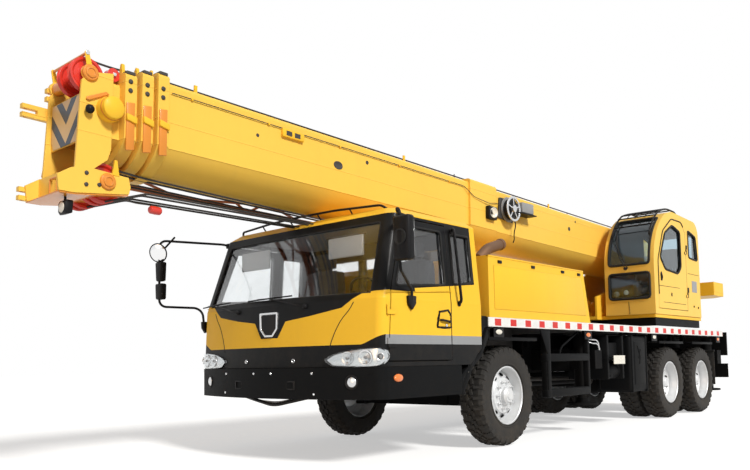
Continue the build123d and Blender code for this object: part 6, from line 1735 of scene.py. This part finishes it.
# left: tank with its straps, battery on a shelf, air tank; right: chest and case with their lids
left, right = 1, -1
boxParts = addSideBlocks(
    ("tank", -3.56, -3.0, left, 0.76, 1.228, 0.43, 1.18, 0.045, 5),
    ("panel", -3.46, -3.1, left, 1.2, 1.236, 0.52, 1.11, 0.02, 4),
    ("strap", -3.53, -3.495, left, 0.75, 1.237, 0.424, 1.186, 0.01),
    ("strap", -3.055, -3.02, left, 0.75, 1.237, 0.424, 1.186, 0.01),
    ("frame", -2.85, -2.8, left, 0.66, 1.195, 0.62, 1.18, 0.006),
    ("frame", -2.4, -2.35, left, 0.66, 1.195, 0.62, 1.18, 0.006),
    ("shelf", -2.85, -2.35, left, 0.66, 1.19, 0.86, 0.885, 0.004),
    ("backplate", -2.85, -2.35, left, 0.645, 0.665, 0.62, 1.18, 0.003, 1),
    ("battery", -2.79, -2.43, left, 0.74, 1.13, 0.885, 1.09, 0.015, 3),
    ("chest", -3.5, -2.4, right, 0.64, 1.208, 0.484, 1.1, 0.03, 4),
    ("lid", -3.42, -2.98, right, 1.19, 1.216, 0.56, 1.03, 0.012, 3),
    ("lid", -2.93, -2.49, right, 1.19, 1.216, 0.56, 1.03, 0.012, 3),
    ("case", -1.6, -0.8, right, 0.7, 1.128, 0.562, 1.0, 0.03, 4),
    ("lid", -1.53, -0.87, right, 1.11, 1.136, 0.62, 0.94, 0.01, 3))
boxParts += [addBlock("bar", at(x, -1.15, 0.645), at(x + 0.08, 1.15, 0.699), 0.006) for x in (-3.3, -2.6)]
boxParts.append(addBar("rib", laid([(-3.2, 1.238, 1.05), (-3.29, 1.238, 0.9), (-3.26, 1.238, 0.8)]), 0.007))
boxParts.append(addBar("rib", laid([(-3.3, 1.238, 1.0), (-3.24, 1.238, 0.88)]), 0.007, 0.03, 2))
airTank = [(0, -0.24), (0.05, -0.235), (0.085, -0.215), (0.1, -0.17)]
airTank += [(radius, -place) for radius, place in reversed(airTank)]
boxParts.append(addTurned("airTank", airTank, at(-2.66, 1.06, 0.72), (1, 0, 0), 28))
sideBoxes = joinPieces("sideBoxes", boxParts)
finishPiece(sideBoxes, blackPaint)
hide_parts("side_boxes")
fittings = []
for side, x, y, z in ((-1, -3.2, 1.218, 0.98), (-1, -2.71, 1.218, 0.98), (-1, -1.2, 1.138, 0.9)):
    fittings.append(addSideBlock("latch", x - 0.04, x + 0.04, side, y - 0.004, y + 0.012, z - 0.015, z + 0.015, 0.004))
fittings.append(addTurned("cap", [(0, 0), (0.05, 0), (0.052, 0.018), (0.045, 0.026), (0, 0.026)],
                          at(-3.28, 1.02, 1.178), (0, 0, 1), 24))
for number, z in enumerate((0.98, 0.94)):
    fittings.append(addBar("hose", [at(-2.3, 1.12, z), at(-2.2, 1.14, z + 0.14), at(-2.08, 1.12, 1.12 - 0.05 * number),
                                    at(-2.02, 1.0, 1.15)], 0.011, 0.08, 4))
finishPiece(joinPieces("sideFittings", fittings), brightSteel)
print("guards and boxes built")

# superstructure: skirt, counterweight fittings, winches, cylinder
skirt = [(-3.97, 0.5), (-3.925, 0.5), (-3.925, 1.225), (-5.74, 1.225), (-5.74, 1.175), (-3.97, 1.175)]
dress("superstructure", ("turntableSkirt", blackPaint, 30, addPlate, skirt, 1.345, 1.4585, onPlan, 0.004))
weightLamp = [(0, 0), (0.03, 0), (0.03, 0.02), (0.024, 0.034), (0, 0.036)]
winchLid = [(0, 0), (0.12, 0), (0.12, 0.012), (0.105, 0.022), (0.05, 0.022), (0.045, 0.03), (0, 0.03)]
for side, label in bothSides:
    spot, out = at(-6.48, side * 0.424, 1.8), across * side
    lidParts = [addTurned("cover", winchLid, spot, out)]
    for turn in [math.tau * k / 8 for k in range(8)]:
        place = spot + Vector((math.cos(turn), 0, math.sin(turn))) * 0.082
        lidParts.append(addTurned("bolt", oblong(0, 0.012, 0.02, 0.03), place, out, 6))
    eye = [at(-7.45, side * y, z) for y, z in ((0.6, 2.198), (0.6, 2.28), (0.5, 2.28), (0.5, 2.198))]
    dress("superstructure", (f"weightLamp{label}", redPaint, 40, addTurned, weightLamp, at(-7.78, side * 0.72, 2.2),
                             (0, 0, 1), 20), (f"weightEye{label}", castIronAndShade, 50, addBar, eye, 0.016, 0.05, 4),
          (f"weightPlate{label}", yellowPaint, 30, addSideBlock, -7.6, -7.12, side, 1.049, 1.0535, 2.02, 2.14, 0.002,
           1), (f"winchCover{label}", castIronAndShade, 35, joinPieces, lidParts))
coil = {"turns": 30, "from": -0.324, "wide": 0.648, "core": (0.1495, 0.328),
        "turn": ((0.158, 0), (0.1665, 0.0054), (0.1685, 0.0108), (0.1665, 0.0162), (0.158, 0.0205))}
for name, x, z in (("main", -6.48, 1.8), ("auxiliary", -6.875, 2.38)):
    core, end = coil["core"]
    line = [(core, -end)]
    for number in range(coil["turns"]):
        y = coil["from"] + coil["wide"] * number / coil["turns"]
        line += [(radius, y + shift) for radius, shift in coil["turn"]]
    line.append((core, end))
    dress(f"drum_{name}", (f"coil{name.title()}", ropeSteel, 60, addTurned, line, at(x, 0, z), across, 40))
cylinderFoot, cylinderHead = at(-4.35, 0, 1.67), onBoom(5.1, -0.4)
cylinderAxis = (cylinderHead - cylinderFoot).normalized()
cylinderLength = (cylinderHead - cylinderFoot).length
band = [(0.124, -0.03), (0.136, -0.03), (0.14, -0.024), (0.14, 0.024), (0.136, 0.03), (0.124, 0.03)]
for number, share in enumerate((0.16, 0.34)):
    spot = cylinderFoot + cylinderAxis * cylinderLength * share
    dress("luff_barrel", (f"barrelBand{number}", castIronAndShade, 40, addTurned, band, spot, cylinderAxis, 36))
print("superstructure dressed")


# rear end, engine cover top and underside
tailLens = makeFinish("tailLens", (0.55, 0.02, 0.012), roughness=0.22, coat=0.6, fade=0.06, dirt=0.2, edge=0.1,
                      bump=0.02)
tail = {"lamps": ((0.79, tailLens), (0.9, tailLens), (1.01, amber), (1.12, lampWhite)), "radius": 0.04}
radius = tail["radius"]
lensLine = [(0, 0), (radius, 0), (radius, 0.01), (radius * 0.86, 0.016), (radius * 0.5, 0.018), (0, 0.02)]
for side, label in bothSides:
    flapBar = addBar("flapBar", [at(-6.42, side * 0.62, 0.98), at(-6.42, side * 1.22, 0.98)], 0.016, 0.01, 2)
    flap = addSideBlock("flap", -6.43, -6.415, side, 0.64, 1.215, 0.42, 0.985, 0.006)
    dress("carrier",
          (f"lampBoard{label}", blackPaint, 30, addSideBlock, -7.1, -7.088, side, 0.72, 1.21, 0.54, 0.745, 0.004),
          (f"mudFlap{label}", rubberBlackAndShade, 40, joinPieces, [flap, flapBar]))
    for number, (y, material) in enumerate(tail["lamps"]):
        spot = at(-7.099, side * y, 0.645)
        dress("carrier", (f"tailLens{label}{number}", material, 50, addTurned, lensLine, spot, (-1, 0, 0), 28),
              (f"tailRing{label}{number}", plasticBlack, 40, addTurned, oblong(radius, radius + 0.008, 0, 0.012), spot,
               (-1, 0, 0), 28))
hook = laid([(-7.06, -0.06, 0.79), (-7.16, -0.05, 0.79), (-7.16, 0.05, 0.79), (-7.06, 0.06, 0.79)])
hookParts = [addBlock("plate", at(-7.075, -0.11, 0.7), at(-7.048, 0.11, 0.88), 0.008),
             addBar("loop", hook, 0.017, 0.04, 4)]
slats = [addPlate("slat", [(x, 1.94), (x + 0.038, 1.94), (x + 0.02, 1.96), (x + 0.012, 1.96)], -0.55, 0.55, onSide,
                  0.002) for x in [-0.3 - 0.062 * number for number in range(11)]]
for near, far in ((0.55, 0.575), (-0.575, -0.55)):
    slats.append(addPlate("frame", oblong(-0.98, -0.24, 1.939, 1.95), near, far, onSide, 0.003))
shaftAxis = (1, 0, 0.03)
shaft = [addTurned("shaft", [(0, 0), (0.045, 0), (0.045, 2.3), (0, 2.3)], at(-4.2, 0, 0.56), shaftAxis, 24)]
joint = [(0, -0.06), (0.05, -0.06), (0.085, -0.045), (0.085, -0.02), (0.06, 0), (0.085, 0.02), (0.085, 0.045),
         (0.05, 0.06), (0, 0.06)]
shaft += [addTurned("joint", joint, at(x, 0, 0.56 + (x + 4.2) * shaftAxis[2]), shaftAxis, 24) for x in (-4.2, -1.9)]
dress("carrier", ("tailPlate", lampWhite, 30, addBlock, at(-7.058, -0.26, 0.93), at(-7.048, 0.26, 1.06), 0.003, 1),
      ("tailHook", castIronAndShade, 40, joinPieces, hookParts), ("coverGrille", blackPaint, 35, joinPieces, slats),
      *((f"coverHatch{number}", yellowPaint, 30, addBlock, at(x0, -0.85, 1.938), at(x1, 0.85, 1.952), 0.008, 3)
        for number, (x0, x1) in enumerate(((-1.45, -1.08), (0.05, 0.36)))),
      ("propShaft", castIronAndShade, 40, joinPieces, shaft))
print("rear end and underside dressed")
